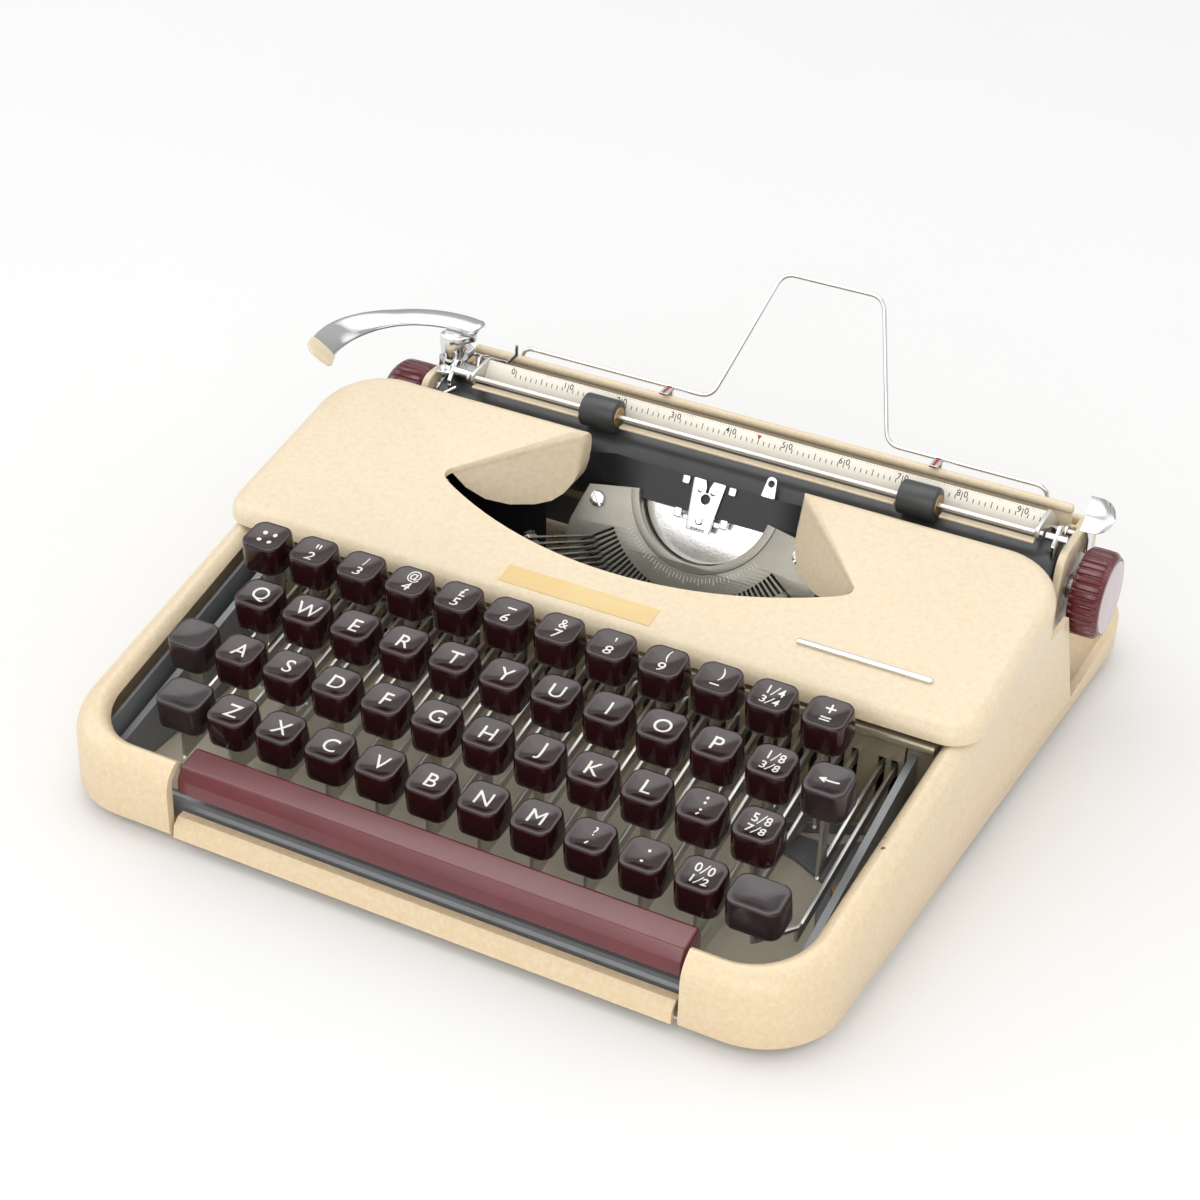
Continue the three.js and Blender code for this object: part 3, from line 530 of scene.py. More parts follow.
SHELL_FRONT, SHELL_REAR = -30, 256
SEAM_FRONT, SEAM_REAR = (84, 53), (170, 55)
RIM_SLOPE = 0.197
RIM_TOP_AT = 29.8 - RIM_SLOPE * SHELL_FRONT
COVER_SLOPE = 0.2
COVER_TOP_AT = 59 - COVER_SLOPE * 87
COVER_FRONT, COVER_BACK = 81, 172
OPENING_X = 1
OPENING_EDGE = 3.2
LOBE_LEAN = 0.38
# the lower edge of each lobe's wall, from its outer tip to its rounded inner end
LOBE_EDGE = [(90, 30), (90, 82), (83, 74), (79, 66.5), (74, 60), (68, 55), (61, 52), (54, 51),
             (49.5, 51.6), (46.5, 53.8), (44.4, 57.5), (43, 63), (41, 90), (38, 90), (38, 30)]


def plain_block(x0, x1, y0, y1, z0, z1):
    return prism_z(corners(x0, x1, y0, y1), z0, z1)


def quarter(radius, steps, drop=None):
    """How far in and how far down each step of a rounded edge lies, from its foot up."""
    angles = [math.pi / 2 * k / steps for k in range(steps + 1)]
    return [(radius * (1 - math.cos(t)), (drop or radius) * (1 - math.sin(t))) for t in angles]


def sloped(outline_at, depth, radius, steps, top_at, slope):
    """A block whose top plane rises with Y, with its upper edges rounded; outline_at(inset)
    gives the plan."""
    return loft([[(x, y, top_at + slope * y - down) for x, y in outline_at(inset)]
                 for inset, down in [(0, depth), *quarter(radius, steps)]])


def flared(outline_at, radius, steps, top_at, slope, bottom, drop=None):
    """A cutter that leaves a rounded edge where it comes out through a sloping top plane."""
    loops = [[(x, y, bottom) for x, y in outline_at(0)]]
    for grow, down in [*quarter(radius, steps, drop), (radius, -40)]:
        loops.append([(x, y, top_at + slope * y - down) for x, y in outline_at(grow)])
    return loft(loops)


def shell_plan(inset, steps=14):
    front, rear = SHELL_FRONT + inset, SHELL_REAR - inset
    return rounded([(-138 + inset, front, 28 - inset), (138 - inset, front, 28 - inset),
                    (147 - inset, rear, 24 - inset), (-147 + inset, rear, 24 - inset)], steps)


def key_well(grow):
    front = -20 - grow
    return rounded([(-126 - grow, front, 20 + grow), (126 + grow, front, 20 + grow),
                    (131.3 + grow, 90), (140 + grow * 0.2, 90), (143, 187),
                    (-143, 187), (-140 - grow * 0.2, 90), (-131.3 - grow, 90)], 14)


def body_shell():
    loops = [[(x, y, z) for x, y in shell_plan(inset)]
             for z, inset in ((4.1, 2.2), (4.9, 0.7), (6.4, 0))]
    for inset, down in quarter(8, 8):
        loops.append([(x, y, RIM_TOP_AT + RIM_SLOPE * y - down) for x, y in shell_plan(inset)])
    side = prism_x([(-40, 4), (266, 4), (266, 19), (250, 19), (187, 12), SEAM_REAR,
                    SEAM_FRONT, (84, 120), (-40, 120)], -200, 200)
    cavity = sloped(lambda inset: shell_plan(3 + inset, 8), 110, 3, 3, RIM_TOP_AT - 4, RIM_SLOPE)
    shape = boolean(loft(loops), side, "INTERSECT")
    shape = boolean(shape, cavity)
    shape = boolean(shape, flared(key_well, 5.4, 8, RIM_TOP_AT, RIM_SLOPE, -5, 7.0))
    shape = boolean(shape, plain_block(-88.5, 96.5, -45, -15, -5, 90))
    floor = prism_z(shell_plan(1, 8), 5.5, 8)
    floor = boolean(floor, plain_block(-200, 200, 184, 266, 0, 30), "INTERSECT")
    return joined(shape, floor)


def type_opening(grow=0):
    """The cover's opening: an arc at the front, two lobes, and a throat at the back."""
    half_back, back_y, half_wide, wide_y, front_y = 43.5, 171, 83, 129, 105
    rise = wide_y - front_y
    radius = (half_wide ** 2 + rise ** 2) / (2 * rise)
    reach = math.degrees(math.asin(half_wide / radius))
    front = circle(0, front_y + radius, radius, 28, -90 - reach, -90 + reach)[1:-1]
    inner = (half_back - grow, back_y - 3 - grow * 0.6, 7 + grow)
    wide = (half_wide, wide_y - 2 + grow * 0.1, 4)
    back = (half_back - 3 - grow, back_y + 12)
    outline = rounded([back, (-back[0], back[1]), (-inner[0], *inner[1:]),
                       (-wide[0], *wide[1:]), *front, wide, inner], 7)
    return [(x + OPENING_X, y) for x, y in outline]


def cover_plan(inset, steps=12):
    front, back = COVER_FRONT + inset, COVER_BACK - inset
    return rounded([(-144 + inset, front, 12 - inset), (142.5 - inset, front, 12 - inset),
                    (145 - inset, back, 24 - inset), (-145 + inset, back, 24 - inset)], steps)


def above_seam(lift):
    slope = (SEAM_REAR[1] - SEAM_FRONT[1]) / (SEAM_REAR[0] - SEAM_FRONT[0])
    foot = [(y, SEAM_FRONT[1] + 0.4 + lift + slope * (y - SEAM_FRONT[0])) for y in (60, 200)]
    return prism_x([*foot, (200, 120), (60, 120)], -200, 200)


def leaning(outline):
    """The opening's wall below its rounded edge, leaning forward as it goes down."""
    def y_at(y, z):
        return y - LOBE_LEAN * (COVER_TOP_AT + COVER_SLOPE * y - OPENING_EDGE - z)
    return loft([[(x, y_at(y, z), z) for x, y in outline] for z in (40, 90)])


def top_cover():
    outer = sloped(cover_plan, 60, 5, 7, COVER_TOP_AT, COVER_SLOPE)
    hollow = sloped(lambda inset: cover_plan(2.2 + inset, 8), 60, 2.8, 4,
                    COVER_TOP_AT - 2.2, COVER_SLOPE)
    skin = boolean(outer, hollow)
    skin = boolean(skin, plain_block(-136, 136, 150, 180, 0, 70))
    skin = boolean(skin, above_seam(-0.9), "INTERSECT")
    skin = boolean(skin, flared(lambda grow: type_opening(-grow), OPENING_EDGE, 5, COVER_TOP_AT,
                                COVER_SLOPE, 0))
    lobes = boolean(leaning(type_opening(-2.2)), outer, "INTERSECT")
    lobes = boolean(lobes, leaning(type_opening()))
    lobes = boolean(lobes, plain_block(-200, 200, 112, 171.5, 48, 120), "INTERSECT")
    under_top = COVER_TOP_AT - 1.4
    lobes = boolean(lobes, prism_x([(60, 0), (200, 0), (200, under_top + COVER_SLOPE * 200),
                                    (60, under_top + COVER_SLOPE * 60)], -200, 200), "INTERSECT")
    for side in (-1, 1):
        under = [(side * x + OPENING_X, z) for x, z in LOBE_EDGE]
        lobes = boolean(lobes, loft([[(x, y, z) for x, z in under] for y in (90, 190)]))
    return boolean(skin, lobes, "UNION")


piece("shell", body_shell(), CREAM, "frame", "body_shell")
piece("cover", top_cover(), CREAM, "top_cover", "top_cover")

# ------------------------------------------------------------------ keyboard

DISH_INSET, DISH_POWER = 0.85, 2.8
CAP_HALF_DEPTH = 7.0


def dish_z(x, y, half_w):
    across, along = abs(x / (half_w - DISH_INSET)), abs(y / (CAP_HALF_DEPTH - DISH_INSET))
    s = min(1.0, (across ** DISH_POWER + along ** DISH_POWER) ** (1 / DISH_POWER))
    return -1.05 * (1 - s * s)


def key_cap(width):
    """A moulded cap with a dished top, centred on its top plane."""
    half_w, half_d, corner = width / 2, CAP_HALF_DEPTH, 3.3

    def ring(inset, down, scale=1.0):
        w, d, c = half_w - inset, half_d - inset, max(corner - inset * 0.5, 0.6)
        loop = []
        for x, y in rounded([(-w, -d, c), (w, -d, c), (w, d, c), (-w, d, c)]):
            x += 0.45 * (1 - (y / d) ** 2) * math.copysign(1, x) * (abs(x) > w - c)
            y += 0.60 * (1 - (x / w) ** 2) * math.copysign(1, y) * (abs(y) > d - c)
            x, y = x * scale, y * scale
            loop.append((x, y, dish_z(x, y, half_w) - down if scale < 1 else -down))
        return loop

    side = [(3.0, CAP_HEIGHT - 1.5), (1.1, CAP_HEIGHT - 1.5), (1.0, CAP_HEIGHT),
            (0.5, CAP_HEIGHT - 0.05), (0.12, CAP_HEIGHT - 0.5), (0.0, CAP_HEIGHT - 1.4),
            (0.05, 6.0), (0.16, 2.6), (0.24, 1.1), (0.34, 0.5), (0.5, 0.15), (0.7, 0.02),
            (DISH_INSET, 0.0)]
    return loft([ring(inset, down) for inset, down in side]
                + [ring(DISH_INSET, 0, s) for s in (0.96, 0.9, 0.82, 0.7, 0.56, 0.4, 0.24, 0.08)])


def lever_z(y):
    return 17 + 0.2 * y


def lever(row, x, cranked_to=None):
    """A flat steel strip from the cap's stem to its eye on the fulcrum rod. A cranked one has
    its stem beside the strip, joined to it by a cross piece."""
    _, y, top = ROWS[row]
    knee = 84
    towards = math.degrees(math.atan2(lever_z(knee) - FULCRUM[1], knee - FULCRUM[0]))
    front = y + 10 if cranked_to else y - 3
    eye = circle(*FULCRUM, 2.6, 18)
    outline = [(front, lever_z(front) - 2.1), (knee, lever_z(knee) - 2.1),
               *circle(*FULCRUM, 4, 14, towards + 31, towards + 329),
               (knee + 1.5, lever_z(knee) + 2.1)]
    if not cranked_to:
        outline += [(y + 3.4, lever_z(y) + 2.1), (y + 2.7, lever_z(y) + 3.4), (y + 2.7, top - 8),
                    (y - 2.7, top - 8), (y - 2.7, lever_z(y) - 1.2), (y - 2.2, lever_z(y) - 2.0)]
        return plate_x(outline, x - LEVER_HALF, x + LEVER_HALF, 0.3, holes=[eye])
    outline.append((front, lever_z(front) + 2.1))
    left, right = cranked_to - LEVER_HALF, cranked_to + LEVER_HALF
    cross = [(x - LEVER_HALF, y - 1.4), (x + 1.0, y - 2.0), (right, front), (right, front + 2.5),
             (left, front + 2.5), (left, front + 0.6), (x - LEVER_HALF, y + 1.4)]
    return joined(plate_x(outline, left, right, 0.3, holes=[eye]),
                  plate_x(corners(y - 2.6, y + 2.6, 21.4, top - 8), x - LEVER_HALF,
                          x + LEVER_HALF, 0.3),
                  plate([cross], 21.3, 22.7, 0.3))


def lettering(text, height, x=0.0, y=0.0, thick=0.12, weight=0.0):
    """Flat characters of a given capital height, centred on x and y."""
    curve = bpy.data.curves.new("text", "FONT")
    curve.body = text
    curve.size = height / 0.729
    curve.resolution_u = 4
    curve.extrude = thick
    curve.offset = weight
    points, faces = shape_of(linked("text", curve))
    low, high = (Vector((pick(p.x for p in points), pick(p.y for p in points), 0))
                 for pick in (min, max))
    middle = (low + high) / 2
    return at((points, faces), x - middle.x, y - middle.y, 0)


def laid_on_cap(shape, width):
    """Cuts long edges and drops every point onto the cap's dish."""
    mesh = mesh_from(shape)
    work = bmesh.new()
    work.from_mesh(mesh)
    long_edges = [e for e in work.edges if e.calc_length() > 1.2]
    bmesh.ops.subdivide_edges(work, edges=long_edges, cuts=3)
    bmesh.ops.triangulate(work, faces=[f for f in work.faces if len(f.verts) > 4])
    above = 0.05
    points = [v.co + Vector((0, 0, dish_z(v.co.x, v.co.y, width / 2) + above))
              for v in work.verts]
    work.verts.index_update()
    faces = [tuple(v.index for v in f.verts) for f in work.faces]
    work.free()
    bpy.data.meshes.remove(mesh)
    return points, faces


def stroke(x0, y0, x1, y1, half=0.32):
    """A straight stroke with round ends."""
    a, b = Vector((x0, y0)), Vector((x1, y1))
    angle = math.degrees(math.atan2(y1 - y0, x1 - x0))
    outline = [*circle(*b, half, 8, angle - 90, angle + 90),
               *circle(*a, half, 8, angle + 90, angle + 270)]
    return plate([outline], -0.12, 0.12, 0.04, 1)


def dash(y, reach=1.4):
    return stroke(-reach, y, reach, y)


def dot(x, y, r=0.55):
    return plate([circle(x, y, r, 16)], -0.12, 0.12, 0.04, 1)


def fractions(*pairs):
    """One fraction above the other."""
    marks = []
    for (top, bottom), y in zip(pairs, (2.5, -2.3)):
        marks += [lettering(top, 3.5, -2.25, y + 0.15, weight=0.03),
                  lettering(bottom, 3.5, 2.25, y - 0.15, weight=0.03),
                  stroke(-0.9, y - 1.8, 0.9, y + 1.8, 0.2)]
    return marks


def paired(upper, lower, height=3.8, x=0.2, y=2.9):
    """A sign above a figure."""
    return [lettering(upper, height, x, y), lettering(lower, 4.8, 0, -2.3)]


FIGURES = [
    paired('"', "2", 5.4, y=3.0), paired("/", "3"), paired("@", "4"), paired("£", "5"),
    [dash(2.6), lettering("6", 4.8, 0, -2.3)], paired("&", "7"), paired("'", "8", 4.6, y=3.2),
    paired("(", "9"), [lettering(")", 4.2, 0.6, 2.4), dash(-2.6)], fractions("14", "34"),
    [dash(2.5, 1.5), stroke(0, 1.0, 0, 4.0), dash(-1.7, 1.5), dash(-3.1, 1.5)]]
SIGNS = {
    (1, 10): fractions("18", "38"),
    (2, 10): [*[dot(0, y, 0.5) for y in (3.8, 1.8, -1.4)], stroke(0.05, -3.2, -0.3, -4.0)],
    (2, 11): fractions("58", "78"),
    (3, 8): [lettering("?", 3.7, 0.4, 2.5), stroke(0.1, -2.3, -0.3, -3.2, 0.34)],
    (3, 9): [dot(0.2, 2.4), dot(-0.2, -2.4)],
    (3, 10): fractions("00", "12")}
ARROW = [stroke(-3.0, 0, 3.2, 0), *[stroke(-3.0, 0, -1.4, y, 0.3) for y in (0.85, -0.85)]]
FOUR_DOTS = [dot(x, y, 0.85) for x in (-2, 2) for y in (-2, 2)]


def key_x(row, i):
    return ROWS[row][0] + PITCH * i


def key_pieces(name, body, keys, material, extra_steel=()):
    """Caps, levers and legends of the keys that move together; keys are (row, i, width, marks)."""
    caps, levers, legends = [], list(extra_steel), []
    for row, i, width, marks in keys:
        x = key_x(row, i)
        place = Matrix.Translation((x, *ROWS[row][1:])) @ Matrix.Rotation(CAP_TILT, 4, "X")
        caps.append(turned(key_cap(width), place))
        levers.append(lever(row, x, 116.5 if (row, i) == (3, 11) else None))
        if marks:
            legends.append(turned(laid_on_cap(joined(*marks), width), place))
    piece(f"{name}_cap", joined(*caps), material, body, body, 42)
    piece(f"{name}_lever", joined(*levers), LEVER_STEEL, body)
    if legends:
        piece(f"{name}_legend", joined(*legends), WHITE, body, angle=50)


for row, first, letters in ((1, 0, "QWERTYUIOP"), (2, 1, "ASDFGHJKL"), (3, 1, "ZXCVBNM")):
    for k, letter in enumerate(letters):
        name = f"key_{letter.lower()}"
        key_pieces(name, name, [(row, first + k, CAP_WIDTH, [lettering(letter, 6.1, 0, 0.3)])],
                   KEY)

figure_xs = [key_x(0, i) for i in range(1, 12)]
tie_y, tie_z = 96, 37.4
figure_tie = [bar_x(figure_xs[0] - 2, figure_xs[-1] + 2, tie_y, tie_z, 1.0, 12)]
figure_tie += [plate_x([(tie_y - 1.2, 24), (tie_y + 1.2, 24), (tie_y + 1.6, tie_z),
                        (tie_y, tie_z + 1.6), (tie_y - 1.6, tie_z)],
                       x - LEVER_HALF, x + LEVER_HALF) for x in figure_xs]
key_pieces("figure_keys", "figure_keys",
           [(0, i, CAP_WIDTH, marks) for i, marks in enumerate(FIGURES, 1)], KEY,
           figure_tie)
sign_xs = [key_x(row, i) for row, i in SIGNS]
key_pieces("sign_keys", "sign_keys",
           [(row, i, CAP_WIDTH, marks) for (row, i), marks in SIGNS.items()], KEY,
           [bar_x(min(sign_xs) - 2, max(sign_xs) + 2, 110, 17.4, 1.1, 12)])
key_pieces("margin_release", "margin_release_key", [(0, 0, CAP_WIDTH, FOUR_DOTS)], KEY)
for name, body, row, i, width, marks in (
        ("backspace", "backspace_key", 1, 11, CAP_WIDTH, ARROW),
        ("shift_lock", "shift_lock_key", 2, 0, CAP_WIDTH, []),
        ("shift_left", "shift_key_left", 3, 0, 17, []),
        ("shift_right", "shift_key_right", 3, 11, 18, [])):
    key_pieces(name, body, [(row, i, width, marks)], BLANK_KEY)

space_profile = rounded([(-26.2, 20.4, 0.5), (-25.9, 25.4, 0.8), (-23.6, 29.6, 1.6),
                         (-14.2, 31.2, 1.4), (-12.3, 27.4, 1.2), (-12.3, 20.4, 0.5)], 4)
piece("space_bar_moulding", plate_x(space_profile, -87.3, 95.0, 0.9, 3), WINE, "space_bar",
      "space_bar", 40)
space_arm = [(-13.2, 21.5), (-13.2, 12), (98, 5.6), (100.9, 8.5), (98, 11.4), (-8.6, 16.2),
             (-8.6, 21.5)]
piece("space_bar_arms", joined(*[plate_x(space_arm, x - 0.6, x + 0.6) for x in (-85.1, 90.6)],
                               bar_x(-86.5, 92, 98, 8.5, 2, 16)),
      LEVER_STEEL, "space_bar")

# ------------------------------------------------------------------ inside the keyboard well

# grey sheet against the well's left wall, with its top following the rim
lining_plan = [(-126.4, -10), (-130.8, 83), (-129.6, 83), (-125.2, -10)]
piece("well_lining", loft([[(x, y, 5) for x, y in lining_plan],
                           [(x, y, RIM_TOP_AT + RIM_SLOPE * y - 8.4) for x, y in lining_plan]]),
      GREY, "frame")
backing = [(-131, 5), (-88, 5), (-88, 14), (-82, 14), (-82, 5), (87.5, 5), (87.5, 14), (93.5, 14),
           (93.5, 5), (131, 5), (131, 45), (120.2, 45), (120.2, 20.3), (-120.2, 20.3),
           (-120.2, 45), (-131, 45)]
piece("comb_backing", joined(turned(plate([backing], -87, -85.7), XZ_TO_DATUM),
                             bar_x(-130, 130, 84.3, 47.4, 2.2, 20)), NICKEL, "frame")
# painted shade: a black sheet under the type basket and an upright baffle behind it, placed where
# the space under the platen lies in shadow
piece("painted_shade_sheet", joined(
    plate([corners(-119, 119, 104, 172)], 9.0, 9.8, 0.3, 1),
    *[block(x0, x1, 171.2, 172.2, 9.8, 46) for x0, x1 in ((-119, -60), (72, 119))]),
      SHADE_BLACK, "frame")
piece("felt_washer", standing([(0, 5.2), (1.2, 5.4), (1.6, 5.0), (1.7, 2.6), (1.1, 2.2),
                               (1.1, 0.01)], 32, 116.5, 52.5, 5.4), BRASS, "frame")
bracket = [(102, 74), (122, 92), (122, 44), (119, 32), (115, 30), (111, 40), (109, 54), (94, 62),
           (84, 64), (84, 74)]
piece("corner_bracket", joined(
    plate([bracket], 3.9, 5.4, 0.4), at(screw(2.4, 1.4, 0.4, 0.7), 117.5, 38, 5.3),
    plate([[(84, 74), (122, 92), (122, 100), (84, 84)]], 3.9, 8.4, 0.6)), GREY, "frame")

# ------------------------------------------------------------------ segment, type and ribbon

SLOT_IN, SLOT_OUT, RING_INNER = 38, 57, 26
BAR_ANGLES = [-56 + 112 * i / 43 for i in range(44)]


def ring_arc(r, start, end, sides):
    return circle(0, 0, r, sides, -90 + start, -90 + end)


def polar(r, degrees):
    t = math.radians(degrees - 90)
    return r * math.cos(t), r * math.sin(t)


def segment_ring():
    teeth = []
    half_in, half_out = math.degrees(0.5 / SLOT_IN), math.degrees(0.5 / SLOT_OUT)
    for angle in BAR_ANGLES:
        teeth += [polar(SLOT_OUT, angle - half_out), polar(SLOT_IN, angle - half_in),
                  polar(SLOT_IN, angle + half_in), polar(SLOT_OUT, angle + half_out)]
    ear = [(46, 80), (49.5, 73), (54, 66), (57, 61)]
    comb = [*[polar(r, -a) for r, a in ear], *teeth, *[polar(r, a) for r, a in reversed(ear)],
            *ring_arc(RING_INNER, 80, -80, 68)]
    back_ring = [polar(46, -79), polar(54, -66), *ring_arc(57, -61, 61, 60), polar(54, 66),
                 polar(46, 79), *ring_arc(RING_INNER, 79, -79, 60)]
    lip = [*ring_arc(29.2, -80, 80, 68), *ring_arc(RING_INNER, 80, -80, 68)]
    return joined(plate([comb], -6, 0, 0.12, 1), plate([back_ring], -8, -6.01, 0.1, 1),
                  plate([lip], -0.2, 0.45, 0.2))


def tick(k):
    angle, outer = -52 + 2.6 * k, 32.4 + 0.9 * (k % 4 == 0)
    return plate([[polar(30.6, angle - 0.16), polar(outer, angle - 0.16),
                   polar(outer, angle + 0.16), polar(30.6, angle + 0.16)]], 0.0, 0.05, 0.01, 0)


piece("segment_ring", on_ring(segment_ring()), CASTING, "frame", "segment", 30)
piece("segment_graduations", on_ring(joined(*[tick(k) for k in range(41)])), WHITE, "frame")
ear_screws = [at(screw(3.0, 1.7, 0.9 * side, 0.8), *polar(42.5, 73 * side)) for side in (-1, 1)]
piece("segment_screws", on_ring(joined(*ear_screws)), CHROME, "frame", angle=30)


def type_bar(angle):
    """A type bar at rest in its slot: a thin blade with a widened head and its type slug."""
    on_edge = Matrix(((0, 0, 1, 0), (-1, 0, 0, 0), (0, 1, 0, 0), (0, 0, 0, 1)))
    blade = plate([[(-1.3, -1), (1.3, -1), (1.05, 20), (0.9, 40), (-0.9, 40), (-1.1, 20)]],
                  -0.3, 0.3, 0.1, 1, on_edge)
    head = at(block(-0.62, 0.62, -1.7, 1.5, 0, 5.6, 0.25), z=40)
    whole = turned(joined(blade, head), Matrix.Rotation(math.radians(10), 4, "X"))
    return turned(at(whole, y=-47, z=-2), Matrix.Rotation(math.radians(angle), 4, "Z"))


bar_rest = plate([[*ring_arc(57.2, -59, 59, 48), *ring_arc(54.3, 59, -59, 48)]], 34, 37.5, 0.4)
piece("type_bar_fan", on_ring(joined(*[type_bar(a) for a in BAR_ANGLES])), STEEL, "frame",
      "type_bars")
piece("type_bar_rest", on_ring(bar_rest), RIBBON, "frame")

# the type guide: its plate with the printing fork, and the bright plates behind it
fork = rounded([(-4.6, -14), (4.6, -14), (6.4, 4.8, 0.6), (1.5, 4.8, 0.4), (0.55, 2.2),
                (0.55, 0.2), (-0.55, 0.2), (-0.55, 2.2), (-1.5, 4.8, 0.4), (-6.4, 4.8, 0.6)], 5)
guide_arm = rounded([(17, -8), (26, -8), (23.4, 12.2, 1.8), (20, 12.2, 1.8)])
BEHIND = (-3.75, -3.05)
guide = joined(
    plate([fork, circle(0, -2.1, 1.75, 28)], -1.2, 0, 0.25),
    block(-3, 3, -14, -12.6, -6, 0, 0.2),
    plate([corners(-14, 26, -7.2, -5.8)], *BEHIND, 0.25),
    plate([corners(-2.4, 2.4, -13.5, -8)], *BEHIND, 0.1, 1),
    plate([guide_arm, circle(21.7, 9.6, 1.2, 20)], *BEHIND),
    standing([(0, 1.5), (0.5, 1.5), (0.8, 1.0), (0.8, 0.01)], 20, 0, -10.2),
    *[standing([(0, 1.1), (0.5, 1.1), (0.7, 0.7), (0.7, 0.01)], 20, x, 0.9) for x in (-2.6, 2.6)])
piece("type_moon", on_ring(plate([circle(0, 0, 25.3, 64, 198, 342)], -6, -5, 0.3)), MOON, "frame",
      angle=30)
piece("type_guide_plate", on_ring(guide), CHROME, "frame", "type_guide", 30)


def vibrator():
    """A yoke with a hook on each side that holds the ribbon by its edges."""
    parts = []
    for side in (-1, 1):
        def sheet(outline, low):
            outline = [(side * x, *rest) for x, *rest in outline]
            return plate([rounded(outline[::side], 4)], low, low + 0.95, 0.25)
        parts.append(sheet([(8, -11), (10.4, -11), (10.6, 4.6, 0.8), (7.8, 4.6, 0.8)], -2.7))
        for low, high in ((1.6, 4.6), (-10.8, -7.4)):
            parts.append(sheet([(7.8, low, 0.6), (10.6, low, 0.6), (10.6, high, 0.6),
                                (7.8, high, 0.6)], -1.1))
        for low, high in ((3.6, 4.6), (-10.8, -9.9)):
            parts.append(block(*sorted((side * 8, side * 10.4)), low, high, -2.7, -0.2, 0.2))
    parts.append(plate([corners(-9, 9, -11, -9.2)], -2.7, -1.75))
    return joined(*parts)


piece("vibrator_hooks", on_ring(vibrator()), CHROME, "ribbon_vibrator",
      "ribbon_vibrator", 30)


def ribbon_half(side):
    """A band from the printing point to one spool, turning upright on the way."""
    spool, wound, leaves_at = Vector((side * SPOOL_X, SPOOL_Y, 55.5)), 17.2, 68

    def on_spool(degrees):
        t = math.radians(degrees)
        return spool + Vector((-side * wound * math.cos(t), wound * math.sin(t), 0))

    upright = Vector((0, 0, 1))
    stations = [(RING_TO_DATUM @ Vector((side * x, -1.6, -1.42)), Vector((0, 0.5, 0.866)))
                for x in range(0, 29, 4)]
    end_x = (RING_TO_DATUM @ Vector((side * 38, 0, 0))).x
    stations.append((Vector((end_x, 172.6, RING_Z - 2)), Vector((0, 0.12, 0.99))))
    start = Vector((end_x + side * 6, 172.2, RING_Z - 2.6))
    first_upright = len(stations)
    stations += [(start.lerp(on_spool(leaves_at), k / 6), upright) for k in range(7)]
    stations += [(on_spool(leaves_at - k * 24), upright) for k in range(1, 15)]
    loops = []
    for i, (centre, across) in enumerate(stations):
        ahead = stations[min(i + 1, len(stations) - 1)][0] - stations[max(i - 1, 0)][0]
        normal = across.cross(ahead).normalized() * 0.06
        half = 5.4 if i > first_upright else 6.2
        widths = (-1, -0.5, 0, 0.5, 1)
        loops.append([centre + across * w * half - normal for w in widths]
                     + [centre + across * w * half + normal for w in reversed(widths)])
    return loft(loops)


SPOOL_PROFILE = [(0, 3.2), (0, 24), (0.5, 24.1), (1.0, 24), (1.2, 17.6), (1.2, 17.0), (10.8, 17.0),
                 (10.8, 17.6), (11.0, 24), (11.5, 24.1), (12, 24), (12, 11), (11.4, 10.4),
                 (11.4, 6), (12.6, 5.4), (12.6, 3.2)]
for side, name in ((-1, "left"), (1, "right")):
    band = meshed(f"ribbon_{name}", ribbon_half(side), RIBBON, 40)
    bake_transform(band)
    wound = standing(SPOOL_PROFILE, 72, side * SPOOL_X, SPOOL_Y, SPOOL_Z)
    bore = standing([(-3, 3.0), (20, 3.0)], 24, side * SPOOL_X, SPOOL_Y, SPOOL_Z)
    piece(f"spool_{name}", boolean(wound, bore), STEEL, f"ribbon_spool_{name}",
          f"ribbon_spool_{name}", 30)

# ------------------------------------------------------------------ carriage


def on_platen(shape, x=0):
    return at(shape, x, PLATEN_Y, PLATEN_Z)


roller = [(-114, 5), (-114, 14.6), (-113.6, 15.4), (-112.8, 15.9), (-112, 16), (-60, 16), (0, 16),
          (60, 16), (132, 16), (132.8, 15.9), (133.6, 15.4), (134, 14.6), (134, 5)]
shaft = [(-133.5, 3.5), (-114.2, 3.5), (-114.1, 7), (-113.9, 14), (-113.9, 4), (133.9, 4),
         (133.9, 14), (134.1, 7), (134.2, 3.5), (150, 3.5)]
piece("platen_rubber", on_platen(lathe(roller, 96)), RUBBER, "platen", "platen", 30)
piece("platen_shaft", on_platen(lathe(shaft, 40)), STEEL, "platen")


def ratchet(x0, x1, radius, teeth):
    outline = []
    for k in range(teeth):
        for step, r in ((k, radius), (k + 0.72, radius - 1.5)):
            t = 2 * math.pi * step / teeth
            outline.append((math.cos(t) * r, math.sin(t) * r))
    return on_platen(plate_x(outline, x0, x1, 0.15, 1))


piece("ratchet_wheel", ratchet(-116.2, -114.3, 14.6, 30), STEEL, "platen", angle=25)


def knob(width):
    """A moulded knob with deep flutes round its rim and a smooth shoulder on its outer face."""
    def flute(i, steps, radius):
        if radius < 14.9:
            return 0
        return -0.75 * max(0, math.cos(2 * math.pi * 36 * i / steps)) ** 0.7
    return lathe([(0, 4), (0, 13.8), (0.4, 14.6), (1.0, 15.2), (1.6, 15.6), (width * 0.3, 15.7),
                  (width * 0.6, 15.7), (width - 2.6, 15.6), (width - 1.9, 15.2),
                  (width - 1.2, 14.6), (width - 0.5, 14.1), (width - 0.4, 13.4),
                  (width - 0.9, 13.2), (width - 0.9, 0.01)], 288, flute)


